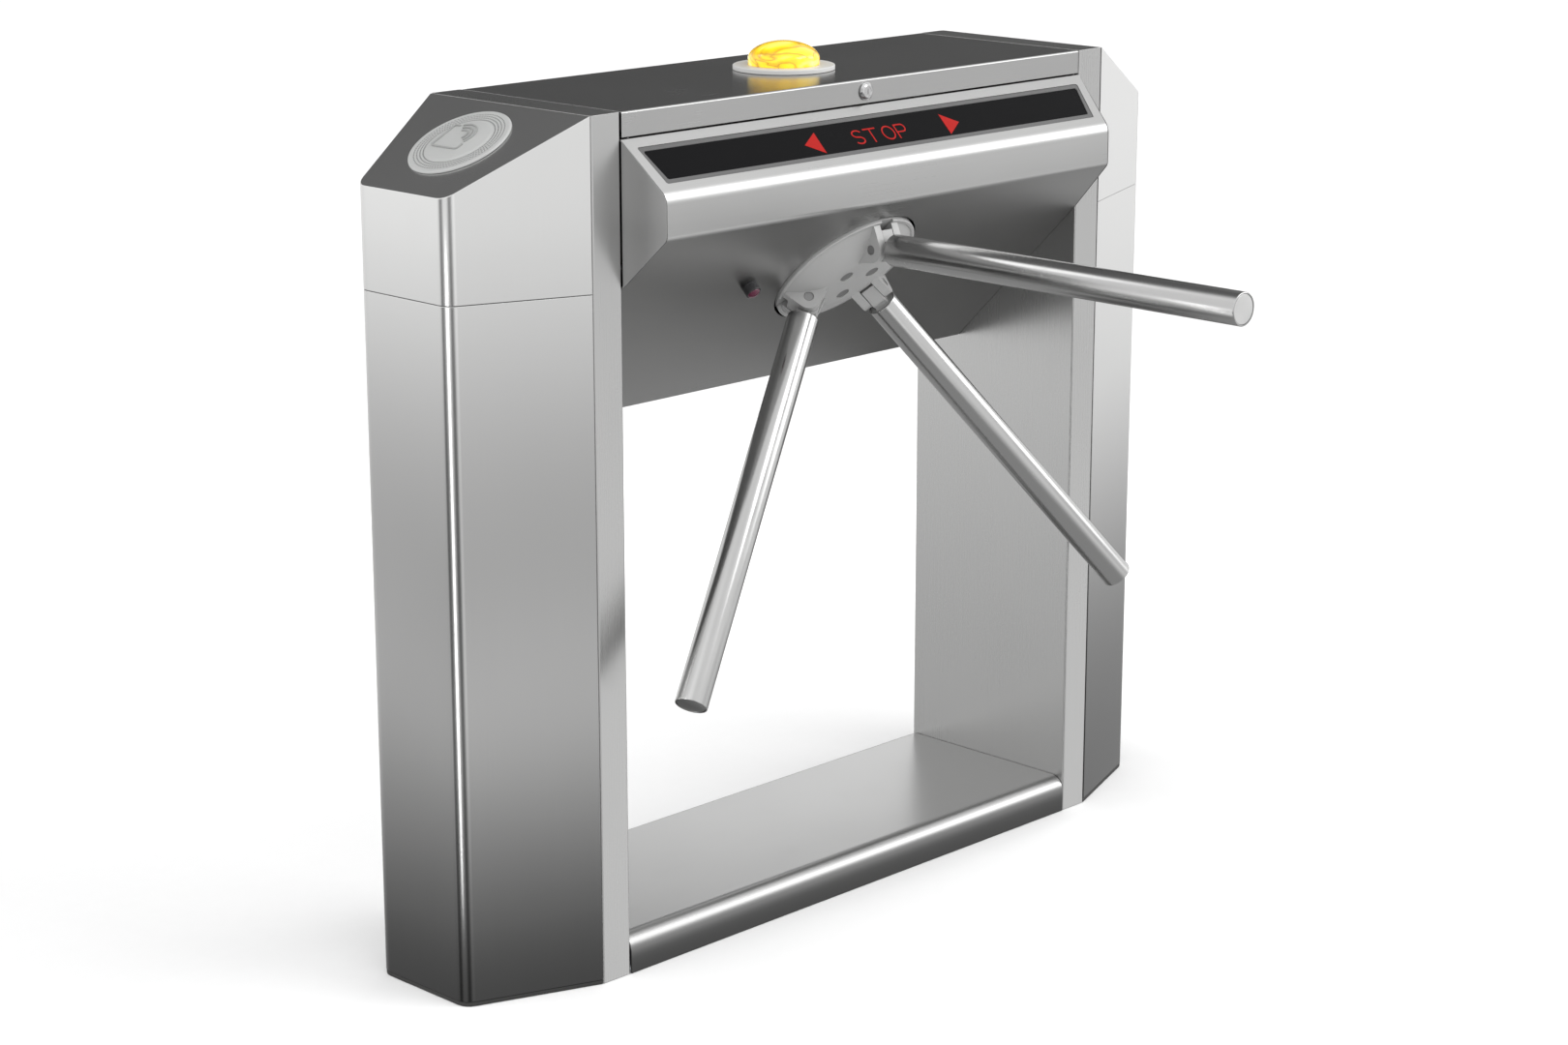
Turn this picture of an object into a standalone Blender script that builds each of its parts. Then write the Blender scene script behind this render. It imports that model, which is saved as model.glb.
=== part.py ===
"""A waist-high tripod turnstile: two tapered columns, a bridge between them, a tilted rotor and three arms.

Metres, +Z up. The origin is on the floor under the middle of the housing. X runs along the housing,
and -Y is the lane side, where the display, the rotor and the blocking arm are.
"""

from math import atan2, cos, hypot, pi, radians, sin, sqrt, tan

import bmesh
import bpy
from mathutils import Matrix, Vector

# --- driving sizes -------------------------------------------------------------------------------
GAP = 0.0003  # between pieces that rest on each other
SHEET = 0.002  # stainless sheet of the casing

HEIGHT = 1.050
HALF_LENGTH = 0.618
HALF_DEPTH = 0.140  # of the pillars, the lid and the bridge
PILLAR_INNER = 0.408
PILLAR_OUTER = 0.4535
BRIDGE_HALF = PILLAR_INNER - 0.0005

END_HALF_DEPTH = 0.077  # where the tapered column meets its end face
END_HEIGHT = 0.967
COLUMN_CORNER = 0.020
COLUMN_SEAM = 0.845
FOOT_HEIGHT = 0.005

SILL_HEIGHT = 0.049
SILL_NOSE = 0.020
SILL_FRONT = -0.141
SILL_REAR = 0.139

BRIDGE_BOTTOM = 0.643
LID_SKIRT = 1.0205  # lower edge of the lid's front flange
COVER_TOP = 1.0185
KNEE_Y = -0.202  # the flat nose of the front cover
KNEE_HIGH = 0.957
SLOPE_START_Z = 0.846  # height where the 45 degree underside crosses the pillars' front plane
BULGE_TAPER = 0.012  # how far the cover narrows at each end, from the pillars out to its nose
BEND = 0.010
KNEE_BEND = 0.022

ROTOR_TILT = radians(45)
ROTOR_DOWN = 0.0472  # where the rotor axis leaves the underside, down it from the pillars' front plane
PANEL_OUT = 0.0458  # underside face, measured from the arms' common point along the rotor axis
ARM_ANGLES = (90, 210, 330)  # stations round the rotor; the first one blocks the lane
ARM_LEAN = radians(45)  # between each arm and the rotor axis

HUB_RADIUS = 0.0987
HUB_GAP = 0.0035  # between the hub and the opening in the underside
HUB_RIM = 0.0492
HUB_BACK = 0.038
HUB_TOP = 0.0672
HUB_TOP_RADIUS = 0.038
SCREW_CIRCLE = 0.0265
SCREW_WELL = 0.0015  # depth of the wells over the hub screws
PIN_REACH = 0.0675  # of a fold pin from the rotor axis, and along it
PIN_RADIUS = 0.0059
EAR_ROUND = 0.016
EAR_INNER = 0.0098
EAR_OUTER = 0.021

TUBE_RADIUS = 0.0198
TUBE_BORE = 0.0178
TUBE_START = 0.0205  # from the fold pin
TUBE_END = 0.5505
BAR_END = 0.070
BAR_HALF = 0.0105

SHAFT_RADIUS = 0.0125
SHAFT_BORE = 0.0128
BEARING_RADIUS = 0.026
CAM_RADIUS = 0.054

HINGE_Y = 0.1437
HINGE_Z = 1.0395
HINGE_HALF = 0.300

LOCK_Z = 1.035
READER_DOWN = 0.083  # centre of a card reader, down the slope from the ridge

# --- looks: colour, metallic, roughness ----------------------------------------------------------
LOOKS = {
    "brushed_stainless": ((0.55, 0.55, 0.54), 1.0, 0.32),
    "polished_stainless": ((0.72, 0.72, 0.71), 1.0, 0.16),
    "cast_aluminium": ((0.50, 0.50, 0.49), 0.8, 0.50),
    "zinc_steel": ((0.45, 0.46, 0.47), 1.0, 0.45),
    "bearing_steel": ((0.60, 0.60, 0.60), 1.0, 0.20),
    "black_rubber": ((0.02, 0.02, 0.02), 0.0, 0.75),
    "black_plastic": ((0.025, 0.025, 0.025), 0.0, 0.45),
    "bezel_grey": ((0.08, 0.08, 0.08), 0.0, 0.50),
    "display_black": ((0.015, 0.015, 0.015), 0.0, 0.12),
    "reader_grey": ((0.62, 0.63, 0.62), 0.0, 0.55),
    "beacon_white": ((0.72, 0.72, 0.70), 0.0, 0.45),
    "amber": ((0.95, 0.60, 0.02), 0.0, 0.15),
    "magenta_lens": ((0.16, 0.01, 0.06), 0.0, 0.12),
    "circuit_green": ((0.02, 0.12, 0.05), 0.0, 0.50),
}


# --- modelling tools -----------------------------------------------------------------------------
def clear_objects():
    for thing in list(bpy.data.objects):
        bpy.data.objects.remove(thing)


def look(name):
    if name in bpy.data.materials:
        return bpy.data.materials[name]
    color, metallic, roughness = LOOKS[name]
    made = bpy.data.materials.new(name)
    made.use_nodes = True
    shader = made.node_tree.nodes["Principled BSDF"]
    shader.inputs["Base Color"].default_value = (*color, 1.0)
    shader.inputs["Metallic"].default_value = metallic
    shader.inputs["Roughness"].default_value = roughness
    return made


def place(thing, parent, local):
    bpy.context.scene.collection.objects.link(thing)
    thing.parent = parent
    thing.matrix_basis = local
    return thing


def axis_frame(name, local, parent=None):
    """An empty that carries the pieces of one axis or one slanted face."""
    return place(bpy.data.objects.new(name, None), parent, local)


def solid(name, bm, slot=None, parent=None, local=Matrix.Identity(4), smooth=radians(32)):
    """A named piece from a bmesh; without a material slot it is only a cutter or a helper."""
    bmesh.ops.recalc_face_normals(bm, faces=bm.faces)
    mesh = bpy.data.meshes.new(name)
    bm.to_mesh(mesh)
    bm.free()
    mesh.shade_smooth()
    mesh.set_sharp_from_angle(angle=smooth)
    thing = place(bpy.data.objects.new(name, mesh), parent, local)
    if slot:
        mesh.materials.append(look(slot))
    else:
        thing.hide_render = True
        thing.display_type = "WIRE"
    return thing


def boolean(target, kind, tools):
    for tool in tools:
        step = target.modifiers.new(f"{kind} {tool.name}", "BOOLEAN")
        step.operation = kind
        step.object = tool
        step.solver = "EXACT"


def cut(target, *tools):
    boolean(target, "DIFFERENCE", tools)


def join(target, *tools):
    boolean(target, "UNION", tools)


def along(axis, u, v, t):
    """A point from outline coordinates u, v and the distance t along an axis."""
    return {"x": (t, u, v), "y": (u, t, v), "z": (u, v, t)}[axis]


def prism(outline, axis, low, high):
    """An outline drawn across an axis and extruded along it."""
    bm = bmesh.new()
    near = [bm.verts.new(along(axis, u, v, low)) for u, v in outline]
    far = [bm.verts.new(along(axis, u, v, high)) for u, v in outline]
    bm.faces.new(near)
    bm.faces.new(far)
    for i in range(len(near)):
        bm.faces.new((near[i - 1], near[i], far[i], far[i - 1]))
    return bm


def ring_prism(outer, inner, axis, low, high):
    """A frame between two outlines with the same number of points, extruded along an axis."""
    bm = bmesh.new()
    loops = []
    for outline, level in ((outer, low), (outer, high), (inner, high), (inner, low)):
        loops.append([bm.verts.new(along(axis, u, v, level)) for u, v in outline])
    for one, two in zip(loops, loops[1:] + loops[:1]):
        for i in range(len(one)):
            bm.faces.new((one[i - 1], one[i], two[i], two[i - 1]))
    return bm


def block(low, high):
    (x0, y0, z0), (x1, y1, z1) = low, high
    return prism([(x0, y0), (x1, y0), (x1, y1), (x0, y1)], "z", z0, z1)


def turned(profile, segments=32, axis="z"):
    """A profile of (radius, height) points turned about an axis, closed onto its first point."""
    bm = bmesh.new()
    rings = []
    for radius, height in profile:
        if radius == 0:
            rings.append([bm.verts.new(along(axis, 0, 0, height))])
            continue
        turns = [2 * pi * k / segments for k in range(segments)]
        rings.append([bm.verts.new(along(axis, radius * cos(a), radius * sin(a), height)) for a in turns])
    for one, two in zip(rings, rings[1:] + rings[:1]):
        if len(one) == len(two) == 1:
            continue
        for k in range(segments):
            if len(one) == 1:
                bm.faces.new((one[0], two[k - 1], two[k]))
            elif len(two) == 1:
                bm.faces.new((one[k], one[k - 1], two[0]))
            else:
                bm.faces.new((one[k], one[k - 1], two[k - 1], two[k]))
    return bm


def rod(radius, low, high, segments=16, axis="z"):
    return turned([(0, low), (radius, low), (radius, high), (0, high)], segments, axis)


def circle(radius, points=48, centre=(0, 0)):
    turns = [2 * pi * k / points for k in range(points)]
    return [(centre[0] + radius * cos(a), centre[1] + radius * sin(a)) for a in turns]


def corner_arc(before, here, after, radius, steps):
    """The round stretch that replaces one corner."""
    back = (Vector(before) - Vector(here)).normalized()
    onward = (Vector(after) - Vector(here)).normalized()
    half = back.angle(onward) / 2
    centre = Vector(here) + (back + onward).normalized() * radius / sin(half)
    start = Vector(here) + back * radius / tan(half) - centre
    finish = Vector(here) + onward * radius / tan(half) - centre
    first = atan2(start.y, start.x)
    sweep = (atan2(finish.y, finish.x) - first + pi) % (2 * pi) - pi
    turns = [first + sweep * k / steps for k in range(steps + 1)]
    return [(centre.x + radius * cos(a), centre.y + radius * sin(a)) for a in turns]


def rounded(corners, steps=5, closed=True):
    """A path through corners given as (u, v, radius)."""
    path = []
    last = len(corners) - 1
    for i, (u, v, radius) in enumerate(corners):
        if radius == 0 or (not closed and i in (0, last)):
            path.append((u, v))
            continue
        after = corners[(i + 1) % len(corners)]
        path += corner_arc(corners[i - 1][:2], (u, v), after[:2], radius, steps)
    return path


def bent_sheet(path, thickness=SHEET):
    """The section of a sheet whose outer face follows an open path, with the metal on its left."""
    points = [Vector(p) for p in path]
    inner = []
    for i, here in enumerate(points):
        sides = []
        if i > 0:
            sides.append((here - points[i - 1]).normalized())
        if i < len(points) - 1:
            sides.append((points[i + 1] - here).normalized())
        normals = [Vector((-side.y, side.x)) for side in sides]
        mean = sum(normals, Vector((0, 0))).normalized()
        inner.append(here + mean * thickness / mean.dot(normals[0]))
    return [tuple(p) for p in points] + [tuple(p) for p in reversed(inner)]


def mirrored(outline, side):
    return [(side * u, v) for u, v in outline]


# --- columns and pillars -------------------------------------------------------------------------
def column_path(inset=0.0):
    """Plan of a column's skin, from the rear of the pillar round the end face to the front."""
    start = PILLAR_OUTER + GAP
    end = HALF_LENGTH - inset
    wide = HALF_DEPTH - inset
    narrow = END_HALF_DEPTH - inset * 0.7
    corner = COLUMN_CORNER - inset
    corners = [(start, -wide, 0), (end, -narrow, corner), (end, narrow, corner), (start, wide, 0)]
    return rounded(corners, 4, closed=False)


def slope_wedge(name, drop, reach=0.05):
    """Everything above the slanted top of a column, lowered by a skin's thickness."""
    fall = HEIGHT - END_HEIGHT
    run = HALF_LENGTH - PILLAR_OUTER
    far = HALF_LENGTH + reach
    near = PILLAR_OUTER - reach
    high = HEIGHT - drop + fall / run * reach
    low = HEIGHT - drop - fall / run * (far - PILLAR_OUTER)
    outline = [(near, high), (far, low), (far, HEIGHT + 0.1), (near, HEIGHT + 0.1)]
    return solid(name, prism(outline, "y", -0.2, 0.2))


def reader_frame(side):
    """On the slanted top of a column, with its Z square to the slope and X up the slope."""
    fall = HEIGHT - END_HEIGHT
    run = HALF_LENGTH - PILLAR_OUTER
    length = hypot(fall, run)
    x = PILLAR_OUTER + READER_DOWN * run / length
    z = HEIGHT - READER_DOWN * fall / length
    turn = Matrix.Rotation(side * atan2(fall, run), 4, "Y")
    return Matrix.Translation((side * x, 0, z)) @ turn


def mirror_matrix(side):
    """Half a turn about Z puts a piece made at +X on the other column."""
    return Matrix.Identity(4) if side > 0 else Matrix.Rotation(pi, 4, "Z")


def build_column(side, word):
    turn = mirror_matrix(side)
    section = [(max(u, PILLAR_OUTER + GAP), v) for u, v in bent_sheet(column_path())]
    skin = prism(section, "z", FOOT_HEIGHT + GAP, COLUMN_SEAM)
    solid(f"column_shell_{word}", skin, "brushed_stainless", local=turn)

    cap = solid(f"column_cap_{word}", prism(column_path(), "z", COLUMN_SEAM + GAP, HEIGHT + 0.02),
                "brushed_stainless", local=turn)
    core_path = column_path(SHEET)
    for end in (0, -1):
        core_path[end] = (PILLAR_OUTER - 0.01, core_path[end][1])
    core = solid(f"cap_core_{word}", prism(core_path, "z", COLUMN_SEAM - 0.01, HEIGHT + 0.03), local=turn)
    roof = slope_wedge(f"cap_roof_{word}", 0)
    ceiling = slope_wedge(f"cap_ceiling_{word}", SHEET * 1.12)
    roof.matrix_basis = turn
    ceiling.matrix_basis = turn
    cut(core, ceiling)
    cut(cap, roof, core)

    foot = prism(column_path(0.0005), "z", 0, FOOT_HEIGHT)
    solid(f"column_foot_{word}", foot, "black_rubber", local=turn)
    build_anchor_plate(word, turn)
    build_reader(side, word, cap)


def build_anchor_plate(word, turn):
    """The floor plate inside a column, with a slot for each floor bolt."""
    low = FOOT_HEIGHT + GAP
    plate = solid(f"anchor_plate_{word}", block((0.462, -0.062, low), (0.598, 0.062, low + 0.008)),
                  "zinc_steel", local=turn)
    for end in (-1, 1):
        hole = rod(0.007, 0, 0.03, 12)
        spot = turn @ Matrix.Translation((0.53, end * 0.042, 0))
        cut(plate, solid(f"anchor_hole_{word}_{end}", hole, local=spot))


def build_reader(side, word, cap):
    """A round card reader: a pot let into the slope, and a flat cover that overhangs its mouth."""
    slope = axis_frame(f"reader_frame_{word}", reader_frame(side))
    cut(cap, solid(f"reader_hole_{word}", rod(0.0553, -0.05, 0.05, 32), parent=slope))
    pot = [(0, -0.016), (0.055, -0.016), (0.055, 0), (0.053, 0), (0.053, -0.014), (0, -0.014)]
    solid(f"reader_body_{word}", turned(pot, 32), "reader_grey", slope)
    disc = [(0, GAP), (0.0635, GAP), (0.0635, 0.0020), (0.0622, 0.0034), (0, 0.0040)]
    solid(f"reader_cover_{word}", turned(disc, 32), "reader_grey", slope)


def build_pillar(side, word):
    """A square upright of folded sheet, closed on top, with a window for the wiring."""
    corner = 0.003
    outer = rounded([(PILLAR_INNER, -HALF_DEPTH, corner), (PILLAR_OUTER, -HALF_DEPTH, corner),
                     (PILLAR_OUTER, HALF_DEPTH, corner), (PILLAR_INNER, HALF_DEPTH, corner)], 3)
    pillar = solid(f"pillar_{word}", prism(mirrored(outer, side), "z", 0, HEIGHT), "brushed_stainless")
    inner_x = sorted((side * (PILLAR_INNER + SHEET), side * (PILLAR_OUTER - SHEET)))
    hollow = block((inner_x[0], -HALF_DEPTH + SHEET, -0.01), (inner_x[1], HALF_DEPTH - SHEET, HEIGHT - SHEET))
    window_x = sorted((side * (PILLAR_INNER - 0.01), side * (PILLAR_OUTER + 0.01)))
    window = block((window_x[0], 0.03, 0.70), (window_x[1], 0.09, 0.76))
    cut(pillar, solid(f"pillar_hollow_{word}", hollow), solid(f"pillar_window_{word}", window))


# --- sill ----------------------------------------------------------------------------------------
def build_sill():
    """The tread between the pillars, and the channel on the floor that it covers."""
    path = rounded([(SILL_REAR, 0, 0), (SILL_REAR, SILL_HEIGHT, 0.006), (SILL_FRONT, SILL_HEIGHT, SILL_NOSE),
                    (SILL_FRONT, 0, 0)], 4, closed=False)
    solid("sill_tread", prism(bent_sheet(path), "x", -BRIDGE_HALF, BRIDGE_HALF), "brushed_stainless")
    wall = 0.133
    lip = 0.034
    channel = rounded([(-wall, lip, 0), (-wall, 0, 0.004), (wall, 0, 0.004), (wall, lip, 0)], 3, closed=False)
    solid("base_channel", prism(bent_sheet(channel, 0.003), "x", -BRIDGE_HALF, BRIDGE_HALF), "zinc_steel")


# --- bridge --------------------------------------------------------------------------------------
def slope_z(y):
    """Height of the 45 degree underside at a depth y."""
    return SLOPE_START_Z - (y + HALF_DEPTH)


def cover_path():
    slope_end_y = SLOPE_START_Z - HALF_DEPTH - BRIDGE_BOTTOM
    corners = [(-0.121, COVER_TOP, 0), (-HALF_DEPTH, COVER_TOP, 0.002), (KNEE_Y, KNEE_HIGH, KNEE_BEND),
               (KNEE_Y, slope_z(KNEE_Y), BEND), (slope_end_y, BRIDGE_BOTTOM, 0)]
    return rounded(corners, 4, closed=False)


def taper_wedge(name, side, inset):
    """Everything past the cover's tapered end, in front of the pillars."""
    front = KNEE_Y - 0.05
    lean = BULGE_TAPER / (HALF_DEPTH + KNEE_Y)
    near_x = BRIDGE_HALF - inset
    far_x = near_x - lean * (HALF_DEPTH + front)
    outline = [(near_x, -HALF_DEPTH), (far_x, front), (near_x + 0.1, front), (near_x + 0.1, -HALF_DEPTH)]
    return solid(name, prism(mirrored(outline, side), "z", 0.8, 1.06))


def build_front_cover(rotor):
    """One folded sheet: display face, nose and the 45 degree underside, with a cheek at each end."""
    cover = solid("front_cover", prism(bent_sheet(cover_path()), "x", -BRIDGE_HALF, BRIDGE_HALF),
                  "brushed_stainless")
    front = -HALF_DEPTH - GAP
    cheek_corners = [(front, COVER_TOP - 0.0008, 0), (KNEE_Y, KNEE_HIGH, KNEE_BEND),
                     (KNEE_Y, slope_z(KNEE_Y), BEND), (front, slope_z(front), 0)]
    for side, word in ((-1, "left"), (1, "right")):
        plate = prism(rounded(cheek_corners, 4, closed=False), "x", side * 0.380, side * BRIDGE_HALF)
        cheek = solid(f"cheek_{word}", plate)
        wedge = taper_wedge(f"cheek_inner_{word}", side, SHEET)
        cheek_cut = cheek.modifiers.new("slanted inner face", "BOOLEAN")
        cheek_cut.operation = "INTERSECT"
        cheek_cut.object = wedge
        join(cover, cheek)
        cut(cover, taper_wedge(f"cheek_outer_{word}", side, 0))
    rotor_hole = solid("rotor_hole", rod(HUB_RADIUS + HUB_GAP, 0.035, 0.07, 40), parent=rotor)
    sensor_hole = solid("sensor_hole", rod(0.0088, 0.035, 0.07, 16), parent=rotor, local=sensor_place())
    cut(cover, rotor_hole, sensor_hole)
    return cover


def build_bridge(rotor):
    path = rounded([(0.124, LID_SKIRT + 0.018, 0), (HALF_DEPTH, LID_SKIRT + 0.018, 0.003),
                    (HALF_DEPTH, BRIDGE_BOTTOM, 0.004),
                    (SLOPE_START_Z - HALF_DEPTH - BRIDGE_BOTTOM + 0.0025, BRIDGE_BOTTOM, 0)], 4, closed=False)
    section = bent_sheet(path, -SHEET)
    solid("bridge_tray", prism(section, "x", -BRIDGE_HALF, BRIDGE_HALF), "brushed_stainless")
    cover = build_front_cover(rotor)
    build_display(cover)


# --- display -------------------------------------------------------------------------------------
DISPLAY_TOP = -0.0138  # edges of the opening, measured up the display face from its upper corner
DISPLAY_BOTTOM = -0.0685
DISPLAY_HALF_TOP = 0.392
DISPLAY_HALF_BOTTOM = 0.381


def display_outline(inset):
    """The opening's outline, drawn in by an even border."""
    top, bottom = DISPLAY_TOP - inset, DISPLAY_BOTTOM + inset
    wide, narrow = DISPLAY_HALF_TOP - inset, DISPLAY_HALF_BOTTOM - inset
    return rounded([(-wide, top, 0.002), (-narrow, bottom, 0.002), (narrow, bottom, 0.002),
                    (wide, top, 0.002)], 1)


def build_display(cover):
    lean = atan2(COVER_TOP - KNEE_HIGH, -HALF_DEPTH - KNEE_Y)
    face = axis_frame("display_face", Matrix.Translation((0, -HALF_DEPTH, COVER_TOP)) @
                      Matrix.Rotation(lean, 4, "X"))
    cut(cover, solid("display_opening", prism(display_outline(0), "z", -0.005, 0.005), parent=face))
    frame = ring_prism(display_outline(0.0004), display_outline(0.006), "z", -0.006, -0.0006)
    solid("display_bezel", frame, "bezel_grey", face)
    solid("display_window", prism(display_outline(0.0064), "z", -0.0045, -0.0014), "display_black", face)
    solid("display_board", prism(display_outline(0.012), "z", -0.0160, -0.0144), "circuit_green", face)


# --- lid, hinge, lock, beacon --------------------------------------------------------------------
def knuckles(name, first, count, pitch):
    """The rolled knuckles of one hinge leaf, each a short barrel on the hinge line."""
    made = []
    for k in range(first, count, 2):
        low = -HINGE_HALF + k * pitch + GAP
        high = low + pitch - 2 * GAP
        barrel = turned([(0.0018, low), (0.0032, low), (0.0032, high), (0.0018, high)], 10, "x")
        made.append((solid(f"{name}_{k}", barrel), low, high))
    return made


def build_hinge(lid_frame):
    """A long hinge outside the rear wall: two leaves with alternate knuckles, and the pin."""
    count = 6
    pitch = 2 * HINGE_HALF / count
    face = HALF_DEPTH + GAP - HINGE_Y
    leaves = (("hinge_leaf_fixed", 0, -0.0275, -0.0036, -1), ("hinge_leaf_lid", 1, 0.0036, 0.0098, 1))
    for name, first, low, high, up in leaves:
        plate = block((-HINGE_HALF, face, low), (HINGE_HALF, face + 0.0015, high))
        leaf = solid(name, plate, "zinc_steel", lid_frame)
        for barrel, start, end in knuckles(f"{name}_knuckle", first, count, pitch):
            barrel.parent = lid_frame
            edge = sorted((up * 0.0012, up * 0.0045))
            web = block((start, face, edge[0]), (end, face + 0.0015, edge[1]))
            join(leaf, barrel, solid(f"{name}_web_{start:.3f}", web, parent=lid_frame))
    solid("hinge_pin", rod(0.0015, -HINGE_HALF - 0.002, HINGE_HALF + 0.002, 10, "x"), "bearing_steel",
          lid_frame)


def build_lid():
    path = rounded([(HALF_DEPTH, HINGE_Z + 0.001, 0), (HALF_DEPTH, HEIGHT, 0.0024),
                    (-HALF_DEPTH, HEIGHT, 0.0024), (-HALF_DEPTH, LID_SKIRT, 0)], 4, closed=False)
    half = PILLAR_INNER - 0.0022
    lid = solid("lid_panel", prism(bent_sheet(path), "x", -half, half), "brushed_stainless")
    for side in (-1, 1):
        span = sorted((side * half, side * (half - SHEET)))
        skirt = block((span[0], -HALF_DEPTH + 0.001, 1.030), (span[1], 0.120, HEIGHT - 0.001))
        join(lid, solid(f"lid_side_{side}", skirt))
    lock_axis = axis_frame("lock_axis", Matrix.Translation((0, 0, LOCK_Z)))
    hole = rod(0.0073, -0.16, -0.12, 16, "y")
    cut(lid, solid("lock_hole", hole, parent=lock_axis))
    barrel = turned([(0, -0.1446), (0.0078, -0.1446), (0.0113, -0.1419), (0.0113, -HALF_DEPTH - GAP),
                     (0.0070, -HALF_DEPTH - GAP), (0.0070, -0.116), (0, -0.116)], 20, "y")
    lock = solid("lock_barrel", barrel, "polished_stainless", lock_axis)
    cut(lock, solid("key_slot", block((-0.0006, -0.15, -0.0035), (0.0006, -0.1405, 0.0035)), parent=lock_axis))
    blade = rounded([(-0.006, 0.006, 0.005), (-0.006, -0.020, 0.003), (0.006, -0.020, 0.003),
                     (0.006, 0.006, 0.005)], 3)
    solid("lock_cam", prism(blade, "y", -0.1157, -0.1137), "zinc_steel", lock_axis)
    build_hinge(axis_frame("lid_axis", Matrix.Translation((0, HINGE_Y, HINGE_Z))))


def build_beacon():
    """An amber lamp on the middle of the lid: a round foot, a lamp post and a domed lens."""
    spot = axis_frame("beacon_spot", Matrix.Translation((0, 0, HEIGHT)))
    foot = [(0.0385, GAP), (0.064, GAP), (0.064, 0.0045), (0.0626, 0.006), (0.0385, 0.006)]
    solid("beacon_base", turned(foot, 36), "beacon_white", spot)
    lamp = [(0, 0.0005), (0.034, 0.0005), (0.034, 0.004), (0.013, 0.004), (0.011, 0.024), (0, 0.026)]
    solid("beacon_lamp", turned(lamp, 16), "beacon_white", spot)
    steps = 5
    low = 0.0063
    outer = [(0.045, low)]
    inner = [(0.0425, low)]
    for k in range(steps):
        turn = pi / 2 * k / steps
        outer.append((0.045 * cos(turn), 0.013 + 0.0225 * sin(turn)))
        inner.append((0.0425 * cos(turn), 0.013 + 0.0203 * sin(turn)))
    profile = outer + [(0, 0.0355), (0, 0.0333)] + inner[::-1]
    solid("beacon_dome", turned(profile, 28), "amber", spot)


# --- rotor ---------------------------------------------------------------------------------------
def rotor_matrix():
    """At the arms' common point, with Z along the rotor axis, out through the underside."""
    foot = Vector((0, -HALF_DEPTH, SLOPE_START_Z)) + ROTOR_DOWN * Vector((0, 1, -1)).normalized()
    centre = foot + PANEL_OUT * Vector((0, 1, 1)).normalized()
    return Matrix.Translation(centre) @ Matrix.Rotation(pi - ROTOR_TILT, 4, "X")


def station(angle):
    return Matrix.Rotation(radians(angle), 4, "Z")


def arm_matrix(angle):
    """At an arm's fold pin: X out along the arm, Y along the pin."""
    return station(angle) @ Matrix.Translation((PIN_REACH, 0, PIN_REACH)) @ Matrix.Rotation(-ARM_LEAN, 4, "Y")


def tangent_point(corner, centre, radius, side):
    """Where a line from a corner touches a circle."""
    reach = Vector(centre) - Vector(corner)
    bearing = atan2(reach.y, reach.x) + side * atan2(radius, sqrt(reach.length_squared - radius**2))
    length = sqrt(reach.length_squared - radius**2)
    return corner[0] + length * cos(bearing), corner[1] + length * sin(bearing)


def ear_outline():
    """An ear in the plane of radius and axis: two straight flanks onto a round nose at the pin."""
    centre = (PIN_REACH, PIN_REACH)
    rim_foot = (0.0925, HUB_RIM + 0.0005)
    top_foot = (0.040, HUB_TOP - 0.0002)
    first = tangent_point(rim_foot, centre, EAR_ROUND, -1)
    last = tangent_point(top_foot, centre, EAR_ROUND, 1)
    start = atan2(first[1] - centre[1], first[0] - centre[0])
    sweep = (atan2(last[1] - centre[1], last[0] - centre[0]) - start) % (2 * pi)
    steps = 6
    nose = [(centre[0] + EAR_ROUND * cos(start + sweep * k / steps),
             centre[1] + EAR_ROUND * sin(start + sweep * k / steps)) for k in range(steps + 1)]
    return [(0.040, 0.044), (0.0925, 0.044), rim_foot] + nose + [top_foot]


def dome_profile():
    """The hub's section: flat back, thin rim, a shallow dome and a flat middle."""
    rise = HUB_TOP - HUB_RIM - 0.0015
    start = HUB_RADIUS - 0.0045
    run = start - HUB_TOP_RADIUS
    steps = 3
    dome = [(start - run * k / steps, HUB_RIM + 0.0015 + rise * sin(pi / 2 * k / steps)) for k in range(steps + 1)]
    return [(0, HUB_BACK), (HUB_RADIUS - 0.002, HUB_BACK), (HUB_RADIUS, HUB_BACK + 0.002),
            (HUB_RADIUS, HUB_RIM - 0.0015), (HUB_RADIUS - 0.0015, HUB_RIM)] + dome + [(0, HUB_TOP)]


def build_hub(rotor):
    hub = solid("hub_plate", turned(dome_profile(), 40), "cast_aluminium", rotor)
    ears = []
    openings = []
    for angle in ARM_ANGLES:
        turn = station(angle)
        for side in (-1, 1):
            span = sorted((side * EAR_INNER, side * EAR_OUTER))
            ears.append(solid(f"ear_{angle}_{side}", prism(ear_outline(), "y", *span), parent=rotor, local=turn))
        half = EAR_INNER + 0.0002
        slot = block((0.0465, -half, 0.0470), (0.12, half, 0.12))
        openings.append(solid(f"tongue_slot_{angle}", slot, parent=rotor, local=turn))
        bore = solid(f"pin_bore_{angle}", rod(PIN_RADIUS + 0.0003, -0.03, 0.03, 12, "y"), parent=rotor,
                     local=turn @ Matrix.Translation((PIN_REACH, 0, PIN_REACH)))
        well = solid(f"screw_well_{angle}", rod(0.009, HUB_TOP - SCREW_WELL, 0.08, 16), parent=rotor,
                     local=station(angle + 60) @ Matrix.Translation((SCREW_CIRCLE, 0, 0)))
        openings += [bore, well]
    join(hub, *ears)
    cut(hub, *openings)


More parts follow.
